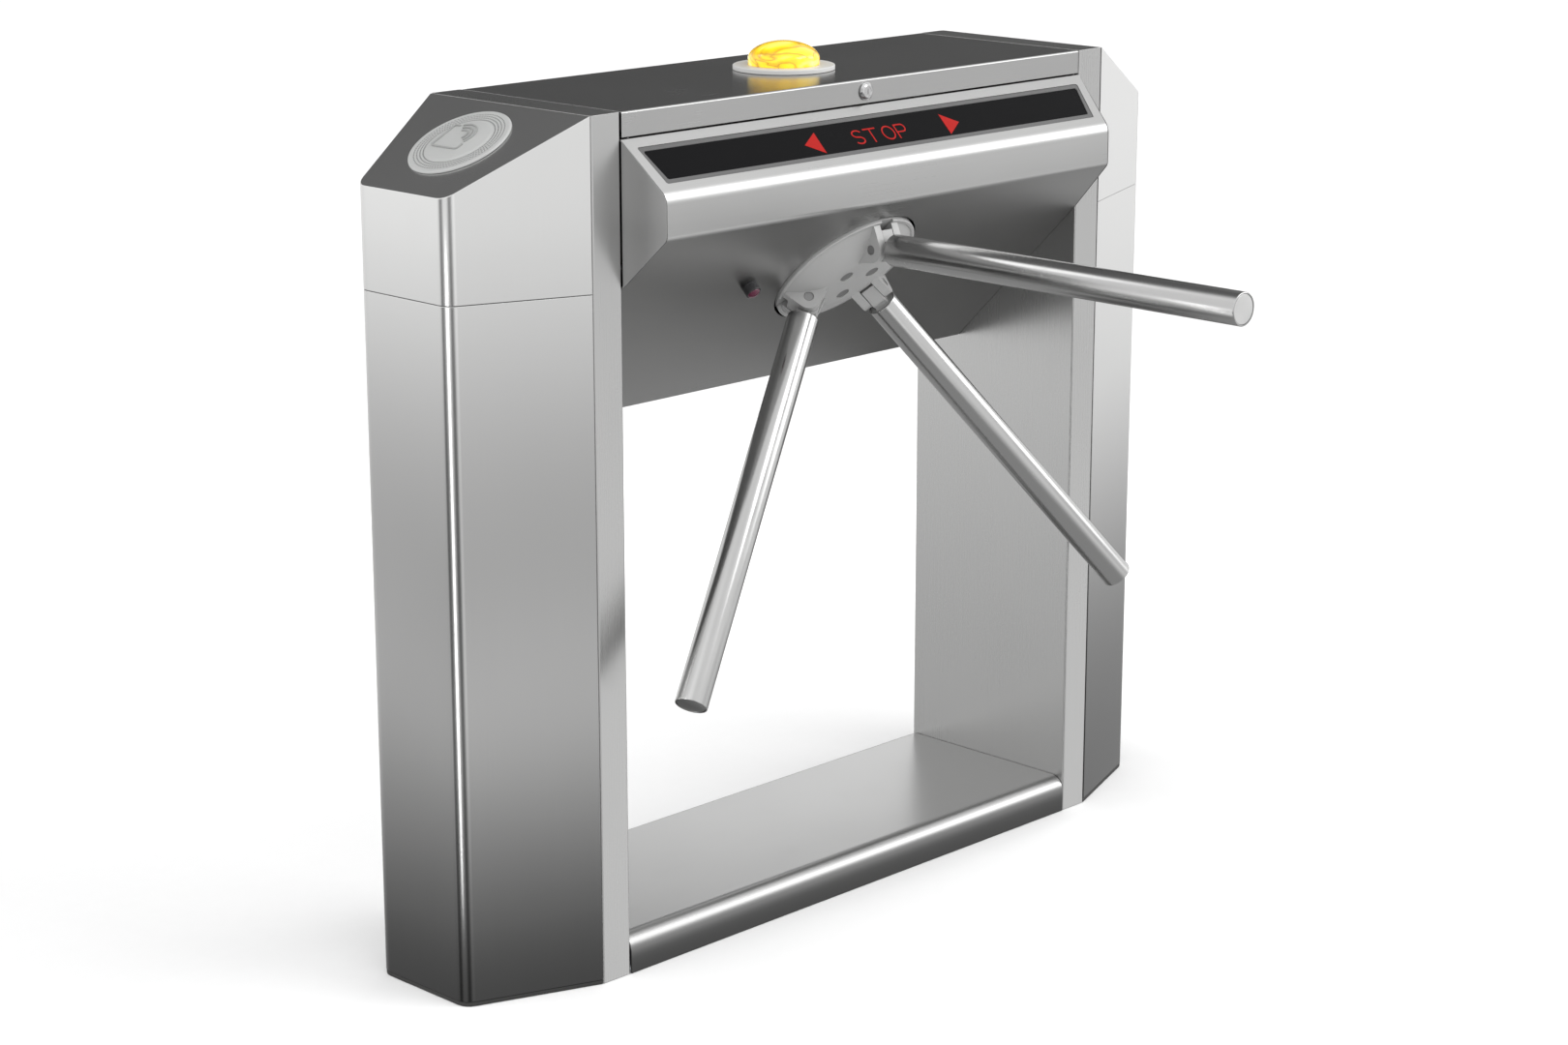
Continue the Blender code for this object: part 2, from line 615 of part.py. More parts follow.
def tongue_outline():
    """Side view of an arm's root block: a square heel flush with the ears' flanks, and a bar into the tube."""
    turns = [radians(a) for a in (14.5, 33, 52, 71, 90)]
    shoulder = [(0.0105 + 0.006 * cos(a), 0.009 + 0.006 * sin(a)) for a in turns]
    return [(-0.0125, 0.015), (-0.0141, -0.0028), (0.0073, -0.0240), (0.0123, -BAR_HALF), (BAR_END, -BAR_HALF),
            (BAR_END, BAR_HALF)] + shoulder


def build_arm(number, angle, rotor):
    axis = axis_frame(f"arm_axis_{number}", arm_matrix(angle), rotor)
    half = EAR_INNER - 0.0006
    bar = solid(f"arm_tongue_{number}", prism(tongue_outline(), "y", -half, half), "cast_aluminium", axis)
    cut(bar, solid(f"tongue_bore_{number}", rod(PIN_RADIUS + 0.0003, -0.03, 0.03, 12, "y"), parent=axis))
    lip = 0.0015
    wall = [(TUBE_BORE, TUBE_START), (TUBE_RADIUS - lip, TUBE_START), (TUBE_RADIUS, TUBE_START + lip),
            (TUBE_RADIUS, TUBE_END - lip), (TUBE_RADIUS - lip, TUBE_END), (TUBE_BORE, TUBE_END)]
    solid(f"arm_tube_{number}", turned(wall, 24, "x"), "polished_stainless", axis)
    plug = rod(TUBE_BORE - GAP, TUBE_END - 0.020, TUBE_END - 0.0002, 24, "x")
    solid(f"arm_cap_{number}", plug, "brushed_stainless", axis)
    pin = rod(PIN_RADIUS, -EAR_OUTER + 0.0003, EAR_OUTER - 0.0014, 12, "y")
    solid(f"arm_pin_{number}", pin, "bearing_steel", axis)


# --- mechanism, all square to the rotor axis -----------------------------------------------------
PLATE_LOW = 0.022
PLATE_HIGH = 0.028
REAR_PLATE = -0.0585


def sensor_place():
    return Matrix.Translation((-0.1685, 0, 0))


def build_shaft(rotor):
    profile = [(0, -0.108), (SHAFT_RADIUS - 0.001, -0.108), (SHAFT_RADIUS, -0.107), (SHAFT_RADIUS, 0.0315),
               (0.038, 0.0315), (0.038, HUB_BACK - GAP), (0, HUB_BACK - GAP)]
    solid("rotor_shaft", turned(profile, 24), "zinc_steel", rotor)
    for word, low in (("front", 0.0105), ("rear", -0.0535)):
        race = [(SHAFT_BORE, low), (BEARING_RADIUS, low), (BEARING_RADIUS, low + 0.015), (SHAFT_BORE, low + 0.015)]
        solid(f"bearing_{word}", turned(race, 24), "bearing_steel", rotor)


def build_housing(rotor):
    """The bearing housing, with its front flange on the chassis plate and a plate for the locks behind."""
    seat = BEARING_RADIUS + GAP
    flange = PLATE_LOW - GAP
    profile = [(0.023, -0.0380), (seat, -0.0380), (seat, -0.0582), (0.038, -0.0582), (0.038, flange - 0.006),
               (0.064, flange - 0.006), (0.064, flange), (0.043, flange), (0.043, 0.0295), (seat, 0.0295),
               (seat, 0.0100), (0.023, 0.0100)]
    housing = solid("bearing_housing", turned(profile, 28), "cast_aluminium", rotor)
    plate = solid("lock_plate", block((-0.150, -0.062, REAR_PLATE - 0.005), (0.150, 0.085, REAR_PLATE + 0.001)),
                  parent=rotor)
    shaft_way = solid("shaft_way", rod(0.0165, -0.08, -0.05, 20), parent=rotor)
    cut(plate, shaft_way)
    join(housing, plate)


def build_chassis(rotor):
    plate = solid("chassis_plate", block((-0.407, -0.095, PLATE_LOW), (0.407, 0.062, PLATE_HIGH)), "zinc_steel",
                  rotor)
    cut(plate, solid("housing_way", rod(0.0445, 0, 0.05, 28), parent=rotor))


def build_cam(rotor):
    """The index disc: three rounded notches, one for each station."""
    points = 48
    notch_depth = 0.010
    outline = []
    for k in range(points):
        turn = 2 * pi * k / points
        nearest = (turn * 3 / (2 * pi)) % 1.0
        off = min(nearest, 1 - nearest)
        depth = notch_depth * max(0.0, 1 - (off / 0.10) ** 2)
        radius = CAM_RADIUS - depth
        outline.append((radius * cos(turn), radius * sin(turn)))
    disc = ring_prism(outline, circle(SHAFT_BORE, points), "z", -0.081, -0.073)
    solid("index_cam", disc, "zinc_steel", rotor, station(30))
    teeth = 12
    rim = []
    for k in range(teeth):
        for part, radius in ((0.0, 0.036), (0.5, 0.036), (0.5, 0.030), (1.0, 0.030)):
            turn = 2 * pi * (k + part) / teeth
            rim.append((radius * cos(turn), radius * sin(turn)))
    wheel = ring_prism(rim, circle(SHAFT_BORE, len(rim)), "z", -0.095, -0.0935)
    solid("encoder_disc", wheel, "black_plastic", rotor)


def build_locks(rotor):
    """A solenoid each side of the index disc, with the bolt that it drives towards a notch."""
    for side, word in ((-1, "left"), (1, "right")):
        ends = sorted((side * 0.078, side * 0.124))
        floor = REAR_PLATE - 0.005 - GAP
        body = solid(f"solenoid_{word}", block((ends[0], -0.017, floor - 0.030), (ends[1], 0.017, floor)),
                     "black_plastic", rotor)
        lane = Matrix.Translation((0, 0, -0.077))
        cut(body, solid(f"solenoid_bore_{word}", rod(0.0055, side * 0.07, side * 0.13, 12, "x"), parent=rotor,
                        local=lane))
        bolt = turned([(0, side * 0.0640), (0.0035, side * 0.0640), (0.0050, side * 0.0655),
                       (0.0050, side * 0.1280), (0, side * 0.1280)], 12, "x")
        solid(f"lock_bolt_{word}", bolt, "bearing_steel", rotor, lane)


def build_centering_arm(rotor):
    """The lever whose roller rests by the index disc and brings the rotor to a station."""
    pivot = (-0.075, 0.070)
    roller = (0.0, CAM_RADIUS + 0.0088)
    reach = hypot(roller[0] - pivot[0], roller[1] - pivot[1])
    bearing = atan2(roller[1] - pivot[1], roller[0] - pivot[0])
    frame = axis_frame("centering_axis", Matrix.Translation((*pivot, 0)) @ Matrix.Rotation(bearing, 4, "Z"), rotor)
    half = 0.008
    ends = []
    for centre, first in ((reach, -90), (0, 90)):
        ends += [(centre + half * cos(radians(first + 180 * k / 6)), half * sin(radians(first + 180 * k / 6)))
                 for k in range(7)]
    lever = solid("centering_arm", prism(ends, "z", -0.0705, -0.0650), "zinc_steel", frame)
    boss = solid("centering_boss", rod(0.009, -0.080, -0.0640, 14), parent=frame)
    wheel = solid("centering_roller", rod(0.008, -0.081, -0.0680, 14), parent=frame,
                  local=Matrix.Translation((reach, 0, 0)))
    join(lever, boss, wheel)


def build_sensor(rotor):
    """A small barrel through the underside beside the rotor, with a lens in its mouth."""
    spot = axis_frame("sensor_spot", sensor_place(), rotor)
    mouth = PANEL_OUT + 0.0115
    seat = PANEL_OUT + 0.0085
    barrel = [(0.0070, 0.0310), (0.0084, 0.0310), (0.0084, PANEL_OUT + GAP), (0.0100, PANEL_OUT + GAP),
              (0.0100, mouth - 0.0008), (0.0092, mouth), (0.0086, mouth), (0.0086, seat), (0.0070, seat)]
    solid("sensor_body", turned(barrel, 18), "black_plastic", spot)
    steps = 4
    crown = [(0.0083 * cos(pi / 2 * k / steps), mouth + 0.0038 * sin(pi / 2 * k / steps)) for k in range(steps)]
    lens = [(0, seat + GAP), (0.0083, seat + GAP)] + crown + [(0, mouth + 0.0038)]
    solid("sensor_lens", turned(lens, 18), "magenta_lens", spot)


# --- electronics on the rear wall ----------------------------------------------------------------
def build_electronics():
    back = HALF_DEPTH - SHEET - GAP
    board = solid("control_board", block((-0.370, 0.1220, 0.720), (-0.200, 0.1236, 0.840)), "circuit_green")
    fittings = []
    for x in (-0.362, -0.208):
        for z in (0.728, 0.832):
            post = rod(0.0035, 0.1225, back, 8, "y")
            fittings.append(solid(f"board_post_{x}_{z}", post, local=Matrix.Translation((x, 0, z))))
    chips = (((-0.320, 0.770), (0.024, 0.024, 0.004)), ((-0.270, 0.800), (0.030, 0.016, 0.010)),
             ((-0.270, 0.745), (0.060, 0.012, 0.012)), ((-0.340, 0.815), (0.018, 0.018, 0.015)))
    for k, ((x, z), (wide, high, deep)) in enumerate(chips):
        chip = block((x - wide / 2, 0.1225 - deep, z - high / 2), (x + wide / 2, 0.1230, z + high / 2))
        fittings.append(solid(f"board_chip_{k}", chip))
    join(board, *fittings)
    supply = solid("power_supply", block((0.190, 0.0930, 0.660), (0.350, back, 0.745)), "zinc_steel")
    for k in range(4):
        x = 0.225 + 0.028 * k
        slot = block((x, 0.085, 0.675), (x + 0.006, 0.096, 0.730))
        cut(supply, solid(f"supply_vent_{k}", slot))


def build():
    clear_objects()
    rotor = axis_frame("rotor_axis", rotor_matrix())
    for side, word in ((-1, "left"), (1, "right")):
        build_column(side, word)
        build_pillar(side, word)
    build_sill()
    build_bridge(rotor)
    build_lid()
    build_beacon()
    build_hub(rotor)
    for number, angle in enumerate(ARM_ANGLES, 1):
        build_arm(number, angle, rotor)
    build_shaft(rotor)
    build_housing(rotor)
    build_chassis(rotor)
    build_cam(rotor)
    build_locks(rotor)
    build_centering_arm(rotor)
    build_sensor(rotor)
    build_electronics()


build()
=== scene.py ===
"""Looks of a tripod turnstile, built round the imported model. Metres, +Z up, -Y is the lane side."""

from math import atan2, cos, pi, radians, sin, sqrt, tan

import bmesh
import bpy
from mathutils import Matrix, Vector


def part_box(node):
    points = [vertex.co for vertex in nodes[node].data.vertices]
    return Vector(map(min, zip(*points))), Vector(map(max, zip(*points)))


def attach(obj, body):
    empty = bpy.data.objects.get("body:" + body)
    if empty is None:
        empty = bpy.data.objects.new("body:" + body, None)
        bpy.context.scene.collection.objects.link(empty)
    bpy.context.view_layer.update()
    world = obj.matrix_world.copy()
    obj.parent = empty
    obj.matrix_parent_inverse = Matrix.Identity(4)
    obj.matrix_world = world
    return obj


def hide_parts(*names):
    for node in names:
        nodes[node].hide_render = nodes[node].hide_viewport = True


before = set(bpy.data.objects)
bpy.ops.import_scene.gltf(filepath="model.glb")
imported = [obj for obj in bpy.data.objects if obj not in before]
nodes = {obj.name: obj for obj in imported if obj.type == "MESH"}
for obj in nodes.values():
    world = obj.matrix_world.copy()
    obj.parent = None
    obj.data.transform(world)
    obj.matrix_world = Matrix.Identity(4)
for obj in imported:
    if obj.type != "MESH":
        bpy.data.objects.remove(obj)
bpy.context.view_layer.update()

# --- sizes shared with the CAD -------------------------------------------------------------------
HEIGHT = 1.050
HALF_DEPTH = 0.140
COVER_TOP = 1.0185
KNEE_Y = -0.202
KNEE_HIGH = 0.957
SLOPE_START_Z = 0.846
ROTOR_DOWN = 0.0472
PANEL_OUT = 0.0458
ARM_ANGLES = (90, 210, 330)
PIN_REACH = 0.0675
PIN_RADIUS = 0.0059
HUB_RADIUS = 0.0987
HUB_RIM = 0.0492
HUB_BACK = 0.038
HUB_TOP = 0.0672
HUB_TOP_RADIUS = 0.038
SCREW_CIRCLE = 0.0265
SCREW_WELL = 0.0015
EAR_INNER = 0.0098
EAR_OUTER = 0.021
EAR_ROUND = 0.016
TUBE_RADIUS = 0.0198
TUBE_BORE = 0.0178
TUBE_START = 0.0205
TUBE_END = 0.5505
BAR_END = 0.070
BAR_HALF = 0.0105
LOCK_Z = 1.035
SENSOR_X = -0.1685
CAP_FALL = 0.083  # the columns' slanted tops: drop, and run along X
CAP_RUN = 0.1645
READER_HALF = 0.008  # half the thickness of a card reader's body
GAP = 0.0003  # left between parts that meet
SIDES = ((-1, "left"), (1, "right"))


# --- frames --------------------------------------------------------------------------------------
def rotor_frame():
    """At the arms' common point, with Z along the rotor axis, out through the underside."""
    foot = Vector((0, -HALF_DEPTH, SLOPE_START_Z)) + ROTOR_DOWN * Vector((0, 1, -1)).normalized()
    centre = foot + PANEL_OUT * Vector((0, 1, 1)).normalized()
    return Matrix.Translation(centre) @ Matrix.Rotation(radians(135), 4, "X")


def station(angle):
    """The rotor's frame, turned about its axis."""
    return rotor_frame() @ Matrix.Rotation(radians(angle), 4, "Z")


def arm_frame(angle):
    """At an arm's fold pin: X out along the arm, Y along the pin."""
    pin = station(angle) @ Matrix.Translation((PIN_REACH, 0, PIN_REACH))
    return pin @ Matrix.Rotation(radians(-45), 4, "Y")


def display_frame():
    """On the display face, with X along it, Y up it and the origin at its upper edge."""
    lean = atan2(COVER_TOP - KNEE_HIGH, -HALF_DEPTH - KNEE_Y)
    return Matrix.Translation((0, -HALF_DEPTH, COVER_TOP)) @ Matrix.Rotation(lean, 4, "X")


def reader_frame(side):
    """On the slanted top of a column, with Z square to it and X across the housing's end."""
    body = "left" if side < 0 else "right"
    low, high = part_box(f"reader_body_{body}")
    lean = side * atan2(CAP_FALL, CAP_RUN)
    normal = Vector((sin(lean), 0, cos(lean)))
    middle = (low + high) / 2
    return Matrix.Translation(middle + normal * READER_HALF) @ Matrix.Rotation(lean, 4, "Y")


# --- material recipes ----------------------------------------------------------------------------
class Recipe:
    """A material whose colour, roughness and bump come from noise in the piece's own coordinates."""

    def __init__(self, name, metallic=0.0, **constants):
        self.material = bpy.data.materials.new(name)
        self.material.use_nodes = True
        self.tree = self.material.node_tree
        self.shader = self.tree.nodes["Principled BSDF"]
        self.shader.inputs["Metallic"].default_value = metallic
        for socket, value in constants.items():
            self.shader.inputs[socket.replace("_", " ")].default_value = value
        self.coordinates = self.add("TexCoord").outputs["Object"]

    def add(self, kind, **settings):
        made = self.tree.nodes.new(f"ShaderNode{kind}")
        for key, value in settings.items():
            setattr(made, key, value)
        return made

    def link(self, source, target):
        self.tree.links.new(source, target)

    def stretched(self, scale):
        """The piece's coordinates, scaled by one number for each axis."""
        mapping = self.add("Mapping")
        mapping.inputs["Scale"].default_value = scale
        self.link(self.coordinates, mapping.inputs["Vector"])
        return mapping.outputs["Vector"]

    def noise(self, scale, detail=3.0, distortion=0.0, rough=0.55):
        """Noise with scale given as one number, or one for each axis, in features per metre."""
        grain = self.add("TexNoise")
        grain.inputs["Scale"].default_value = 1.0
        grain.inputs["Detail"].default_value = detail
        grain.inputs["Roughness"].default_value = rough
        grain.inputs["Distortion"].default_value = distortion
        scales = scale if isinstance(scale, tuple) else (scale, scale, scale)
        self.link(self.stretched(scales), grain.inputs["Vector"])
        return grain.outputs["Fac"]

    def spread(self, source, low, high, start=0.3, end=0.7):
        """The source's range from start to end, spread over low to high."""
        ranged = self.add("MapRange")
        for socket, value in (("From Min", start), ("From Max", end), ("To Min", low), ("To Max", high)):
            ranged.inputs[socket].default_value = value
        self.link(source, ranged.inputs["Value"])
        return ranged.outputs["Result"]

    def combine(self, operation, one, two):
        maths = self.add("Math", operation=operation)
        self.link(one, maths.inputs[0])
        self.link(two, maths.inputs[1])
        return maths.outputs[0]

    def height(self):
        """The height above the floor of a piece whose coordinates are the housing's own."""
        split = self.add("SeparateXYZ")
        self.link(self.coordinates, split.inputs["Vector"])
        return split.outputs["Z"]

    def ramp(self, source, *stops, kind="LINEAR"):
        """Colours at places from 0 to 1 along the source."""
        ramp = self.add("ValToRGB")
        band = ramp.color_ramp
        band.interpolation = kind
        while len(band.elements) < len(stops):
            band.elements.new(0.5)
        for element, (place, color) in zip(band.elements, stops):
            element.position = place
            element.color = (*color, 1.0)
        self.link(source, ramp.inputs["Fac"])
        return ramp.outputs["Color"]

    def mixed(self, source, one, two):
        """One colour where the source is 0, the other where it is 1."""
        return self.ramp(source, (0.0, one), (1.0, two))

    def color(self, source):
        self.link(source, self.shader.inputs["Base Color"])

    def roughness(self, source):
        self.link(source, self.shader.inputs["Roughness"])

    def bump(self, source, depth, strength=0.5):
        bump = self.add("Bump")
        bump.inputs["Strength"].default_value = strength
        bump.inputs["Distance"].default_value = depth
        self.link(source, bump.inputs["Height"])
        self.link(bump.outputs["Normal"], self.shader.inputs["Normal"])


def shade(color, factor):
    return tuple(channel * factor for channel in color)


ALONG = 5.0  # brushing lines: features per metre along the grain, and across it
ACROSS = 1300.0


def brushed(name, color, roughness, grain, painted_shade=()):
    """Brushed stainless sheet: long fine lines and slow cloudiness.

    The height ramp paints shade and reflection onto the sheet: a list of (height above the floor, share of
    the colour left there), darker towards the floor.
    """
    made = Recipe(name, metallic=1.0)
    scale = tuple(ALONG if axis == grain else ACROSS for axis in "xyz")
    lines = made.noise(scale, detail=2.0)
    clouds = made.noise(3.0, detail=2.0)
    smudges = made.noise(24.0, detail=5.0, distortion=0.6)
    line_rough = made.spread(lines, -0.01, 0.01)
    cloud_rough = made.spread(clouds, roughness - 0.015, roughness + 0.015)
    smudge_rough = made.spread(smudges, 0.0, 0.012, start=0.55, end=0.75)
    made.roughness(made.combine("ADD", made.combine("ADD", line_rough, cloud_rough), smudge_rough))
    tone = made.combine("ADD", made.spread(lines, 0.93, 0.95), made.spread(clouds, 0.0, 0.03))
    # painted shade and painted reflection: the sheet's colour darkened by height, in bands
    if painted_shade:
        stops = [(height, (share, share, share)) for height, share in painted_shade]
        tone = made.combine("MULTIPLY", tone, made.ramp(made.height(), *stops, kind="B_SPLINE"))
    made.color(made.mixed(tone, (0, 0, 0), color))
    made.bump(lines, depth=0.00001, strength=0.012)
    return made.material


def polished(name, color, roughness, grain):
    """Bright tube, polished round and round, with faint scuffs along it."""
    made = Recipe(name, metallic=1.0)
    rings = made.noise(tuple(900.0 if axis == grain else 8.0 for axis in "xyz"), detail=3.0)
    scuffs = made.noise(tuple(14.0 if axis == grain else 90.0 for axis in "xyz"), detail=4.0)
    rough = made.combine("ADD", made.spread(rings, roughness - 0.03, roughness + 0.03),
                         made.spread(scuffs, 0.0, 0.08, start=0.5, end=0.8))
    made.roughness(rough)
    made.color(made.mixed(scuffs, shade(color, 0.95), shade(color, 1.03)))
    made.bump(rings, depth=0.00001, strength=0.06)
    return made.material


def cast(name, color, roughness):
    """Fine-blasted casting, mostly matt: a tight grain and a slow cloudiness."""
    made = Recipe(name, metallic=0.30)
    grain = made.noise(900.0, detail=3.0, rough=0.7)
    clouds = made.noise(22.0, detail=3.0)
    made.color(made.mixed(clouds, shade(color, 0.96), shade(color, 1.03)))
    made.roughness(made.spread(grain, roughness - 0.06, roughness + 0.08))
    made.bump(grain, depth=0.00008, strength=0.3)
    return made.material


def zinc(name, color):
    """Zinc plate: a bluish grey that varies in soft patches."""
    made = Recipe(name, metallic=1.0)
    cells = made.add("TexVoronoi")
    cells.inputs["Scale"].default_value = 1.0
    made.link(made.stretched((120.0, 120.0, 120.0)), cells.inputs["Vector"])
    patches = made.combine("ADD", made.spread(cells.outputs["Distance"], 0.0, 0.5, 0.0, 1.0),
                           made.spread(made.noise(30.0), 0.0, 0.5))
    made.color(made.mixed(patches, shade(color, 0.86), shade(color, 1.08)))
    made.roughness(made.spread(patches, 0.34, 0.50, 0.0, 1.0))
    made.bump(made.noise(420.0), depth=0.00005, strength=0.3)
    return made.material


def plastic(name, color, roughness, pebble=700.0, depth=0.00006, **constants):
    """Moulded plastic with an etched grain, slightly uneven in colour and gloss."""
    made = Recipe(name, **constants)
    grain = made.noise(pebble, detail=2.0, rough=0.6)
    clouds = made.noise(16.0, detail=4.0)
    made.color(made.mixed(clouds, shade(color, 0.94), shade(color, 1.05)))
    made.roughness(made.combine("ADD", made.spread(grain, roughness - 0.04, roughness + 0.04),
                                made.spread(clouds, -0.02, 0.03)))
    made.bump(grain, depth=depth, strength=0.4)
    return made.material


def lit(name, color, strength, roughness=0.4):
    """A diode-lit sign: a flat colour with the faint unevenness of its diffuser."""
    made = Recipe(name, Roughness=roughness, Emission_Strength=strength, Specular_IOR_Level=0.1)
    glow = made.noise(260.0, detail=1.0)
    shown = made.mixed(glow, shade(color, 0.86), shade(color, 1.0))
    made.color(shown)
    made.link(shown, made.shader.inputs["Emission Color"])
    return made.material


def amber_glass():
    """A lit amber lens: folds of orange and pale yellow wind round inside it."""
    made = Recipe("amber_lens", Roughness=0.08, IOR=1.45, Coat_Weight=0.5, Transmission_Weight=0.15,
                  Emission_Strength=0.35)
    swirl = made.noise((9.0, 14.0, 34.0), detail=1.5, distortion=1.6)
    folds = made.ramp(
        swirl,
        (0.30, (1.0, 0.84, 0.20)),  # pale yellow
        (0.40, (0.96, 0.68, 0.01)),
        (0.455, (0.72, 0.44, 0.01)),
        (0.475, (0.50, 0.28, 0.01)),  # the brown line along a fold
        (0.50, (0.90, 0.60, 0.01)),
        (0.60, (1.0, 0.74, 0.02)),
        (0.68, (1.0, 0.88, 0.36)),  # palest
    )
    made.color(folds)
    made.link(folds, made.shader.inputs["Emission Color"])
    made.bump(swirl, depth=0.003, strength=0.6)
    return made.material


def board_green():
    """Solder resist over copper tracks: fine square-cornered lines, a shade lighter."""
    made = Recipe("board_green")
    tracks = made.add("TexBrick", offset=0.37, offset_frequency=3, squash=0.7)
    for socket, value in (("Scale", 1.0), ("Mortar Size", 0.05), ("Brick Width", 2.7), ("Row Height", 0.35)):
        tracks.inputs[socket].default_value = value
    tracks.inputs["Color1"].default_value = (0, 0, 0, 1)
    tracks.inputs["Color2"].default_value = (0, 0, 0, 1)
    tracks.inputs["Mortar"].default_value = (1, 1, 1, 1)
    turned = made.add("Mapping")
    turned.inputs["Rotation"].default_value = (radians(90), 0, 0)
    turned.inputs["Scale"].default_value = (300.0, 300.0, 300.0)
    made.link(made.coordinates, turned.inputs["Vector"])
    made.link(turned.outputs["Vector"], tracks.inputs["Vector"])
    made.color(made.mixed(tracks.outputs["Fac"], (0.010, 0.075, 0.028), (0.035, 0.19, 0.075)))
    made.roughness(made.spread(made.noise(60.0), 0.28, 0.42))
    made.bump(tracks.outputs["Fac"], depth=0.00004, strength=0.5)
    return made.material


# one brushed stainless, coloured lighter on the columns and tread than on the bridge, lid, pillars and cover:
# painted light and shade
STEEL = (0.40, 0.40, 0.397)
COLUMN_STEEL = (0.60, 0.60, 0.596)
TREAD_STEEL = (0.50, 0.50, 0.497)
TUBE_STEEL = (0.43, 0.43, 0.427)
# painted shade and painted reflection on the sheet, darker towards the floor: (height above the floor, share
# of the colour left there)
LEFT_PAINTED_SHADE = (
    (0.0, 0.13), (0.10, 0.22), (0.24, 0.56), (0.37, 0.84), (0.54, 0.58), (0.72, 0.72), (0.90, 1.0))
RIGHT_PAINTED_SHADE = ((0.0, 0.12), (0.12, 0.13), (0.28, 0.24), (0.44, 0.60), (0.60, 0.92), (0.90, 1.0))
NOSE_PAINTED_SHADE = ((0.885, 0.92), (0.903, 0.87), (0.916, 0.87), (0.935, 0.95), (0.955, 1.0))
TREAD_PAINTED_SHADE = ((0.0, 0.12), (0.020, 0.13), (0.032, 0.35), (0.042, 1.0))
MATERIALS = {
    "sheet_across": brushed("stainless_across", STEEL, 0.25, "x"),
    "sheet_tread": brushed("stainless_tread", TREAD_STEEL, 0.30, "x", TREAD_PAINTED_SHADE),
    "sheet_pillar": brushed("stainless_pillar", (0.455, 0.455, 0.452), 0.28, "z"),
    "sheet_left": brushed("stainless_column_left", COLUMN_STEEL, 0.24, "z", LEFT_PAINTED_SHADE),
    "sheet_right": brushed("stainless_column_right", COLUMN_STEEL, 0.24, "z", RIGHT_PAINTED_SHADE),
    "sheet_cover": brushed("stainless_cover", (0.46, 0.46, 0.457), 0.29, "x", NOSE_PAINTED_SHADE),
    "tube": polished("stainless_tube", TUBE_STEEL, 0.21, "x"),
    "cap": brushed("stainless_cap", COLUMN_STEEL, 0.30, "y"),
    "cast": cast("cast_aluminium_blasted", (0.385, 0.385, 0.382), 0.50),
    # a darker grey than the casting: partly the steel's own tone, partly painted shade of the pins set back
    # in their bores
    "pin": cast("pin_steel", (0.25, 0.25, 0.25), 0.45),
    "zinc": zinc("zinc_plate", (0.42, 0.44, 0.46)),
    "ground": polished("ground_steel", (0.50, 0.50, 0.50), 0.20, "y"),
    "rubber": plastic("rubber_foot", (0.022, 0.022, 0.021), 0.72, pebble=500.0, depth=0.0001),
    "black": plastic("black_moulding", (0.022, 0.022, 0.024), 0.42),
    "bezel": plastic("bezel_moulding", (0.085, 0.085, 0.085), 0.48),
    "window": plastic("smoked_window", (0.006, 0.006, 0.0065), 0.22, pebble=40.0, depth=0.00001,
                      Specular_IOR_Level=0.03),
    "reader": plastic("reader_moulding", (0.43, 0.435, 0.43), 0.42, pebble=900.0, depth=0.00005),
    # darker than the reader's moulding: painted shade along the raised pictogram lines
    "sign_painted_shade": plastic("reader_sign_painted_shade", (0.31, 0.315, 0.31), 0.42, pebble=900.0, depth=0.00005),
    "white": plastic("beacon_moulding", (0.56, 0.56, 0.55), 0.40),
    "amber": amber_glass(),
    "magenta": plastic("infrared_lens", (0.075, 0.003, 0.024), 0.18, pebble=60.0, depth=0.00001,
                       Coat_Weight=0.2),
    "board": board_green(),
    "sign_red": lit("sign_red", (0.32, 0.007, 0.005), 0.30),
    "lamp": lit("lamp_glow", (1.0, 0.80, 0.30), 3.0),
    # blackened steel for the screw heads; the same dark paints the shade at the fold pins' ends
    "blackening_and_shade": plastic("blackened_steel_and_painted_shade", (0.13, 0.13, 0.13), 0.45, pebble=900.0, depth=0.00004),
    # a dark grey that paints the shade in joints and holes
    "shadow_gap": plastic("painted_gap_shade", (0.035, 0.035, 0.035), 0.6),
}


# --- meshes --------------------------------------------------------------------------------------
def piece(name, bm, material, body, matrix=None, replaces=(), bevel=0.0, segments=3, ride=True):
    """A shown piece from a bmesh: placed, finished, and riding on a CAD body."""
    bmesh.ops.recalc_face_normals(bm, faces=bm.faces)
    mesh = bpy.data.meshes.new(name)
    bm.to_mesh(mesh)
    bm.free()
    mesh.shade_smooth()
    mesh.materials.append(MATERIALS[material])
    made = bpy.data.objects.new(name, mesh)
    bpy.context.scene.collection.objects.link(made)
    if matrix is not None:
        made.matrix_world = matrix
    if bevel:
        round_edges(made, bevel, segments)
    else:
        mesh.set_sharp_from_angle(angle=radians(35))
    if ride:
        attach(made, body)
        if replaces:
            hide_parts(*replaces)
    return made


def round_edges(thing, width, segments=2, angle=35):
    """Small rounds on a piece's edges, with the shading of its flat faces kept flat."""
    bevel = thing.modifiers.new("edge rounds", "BEVEL")
    bevel.width = width
    bevel.segments = segments
    bevel.limit_method = "ANGLE"
    bevel.angle_limit = radians(angle)
    bevel.use_clamp_overlap = True
    normals = thing.modifiers.new("flat faces", "WEIGHTED_NORMAL")
    normals.keep_sharp = False
    normals.weight = 60


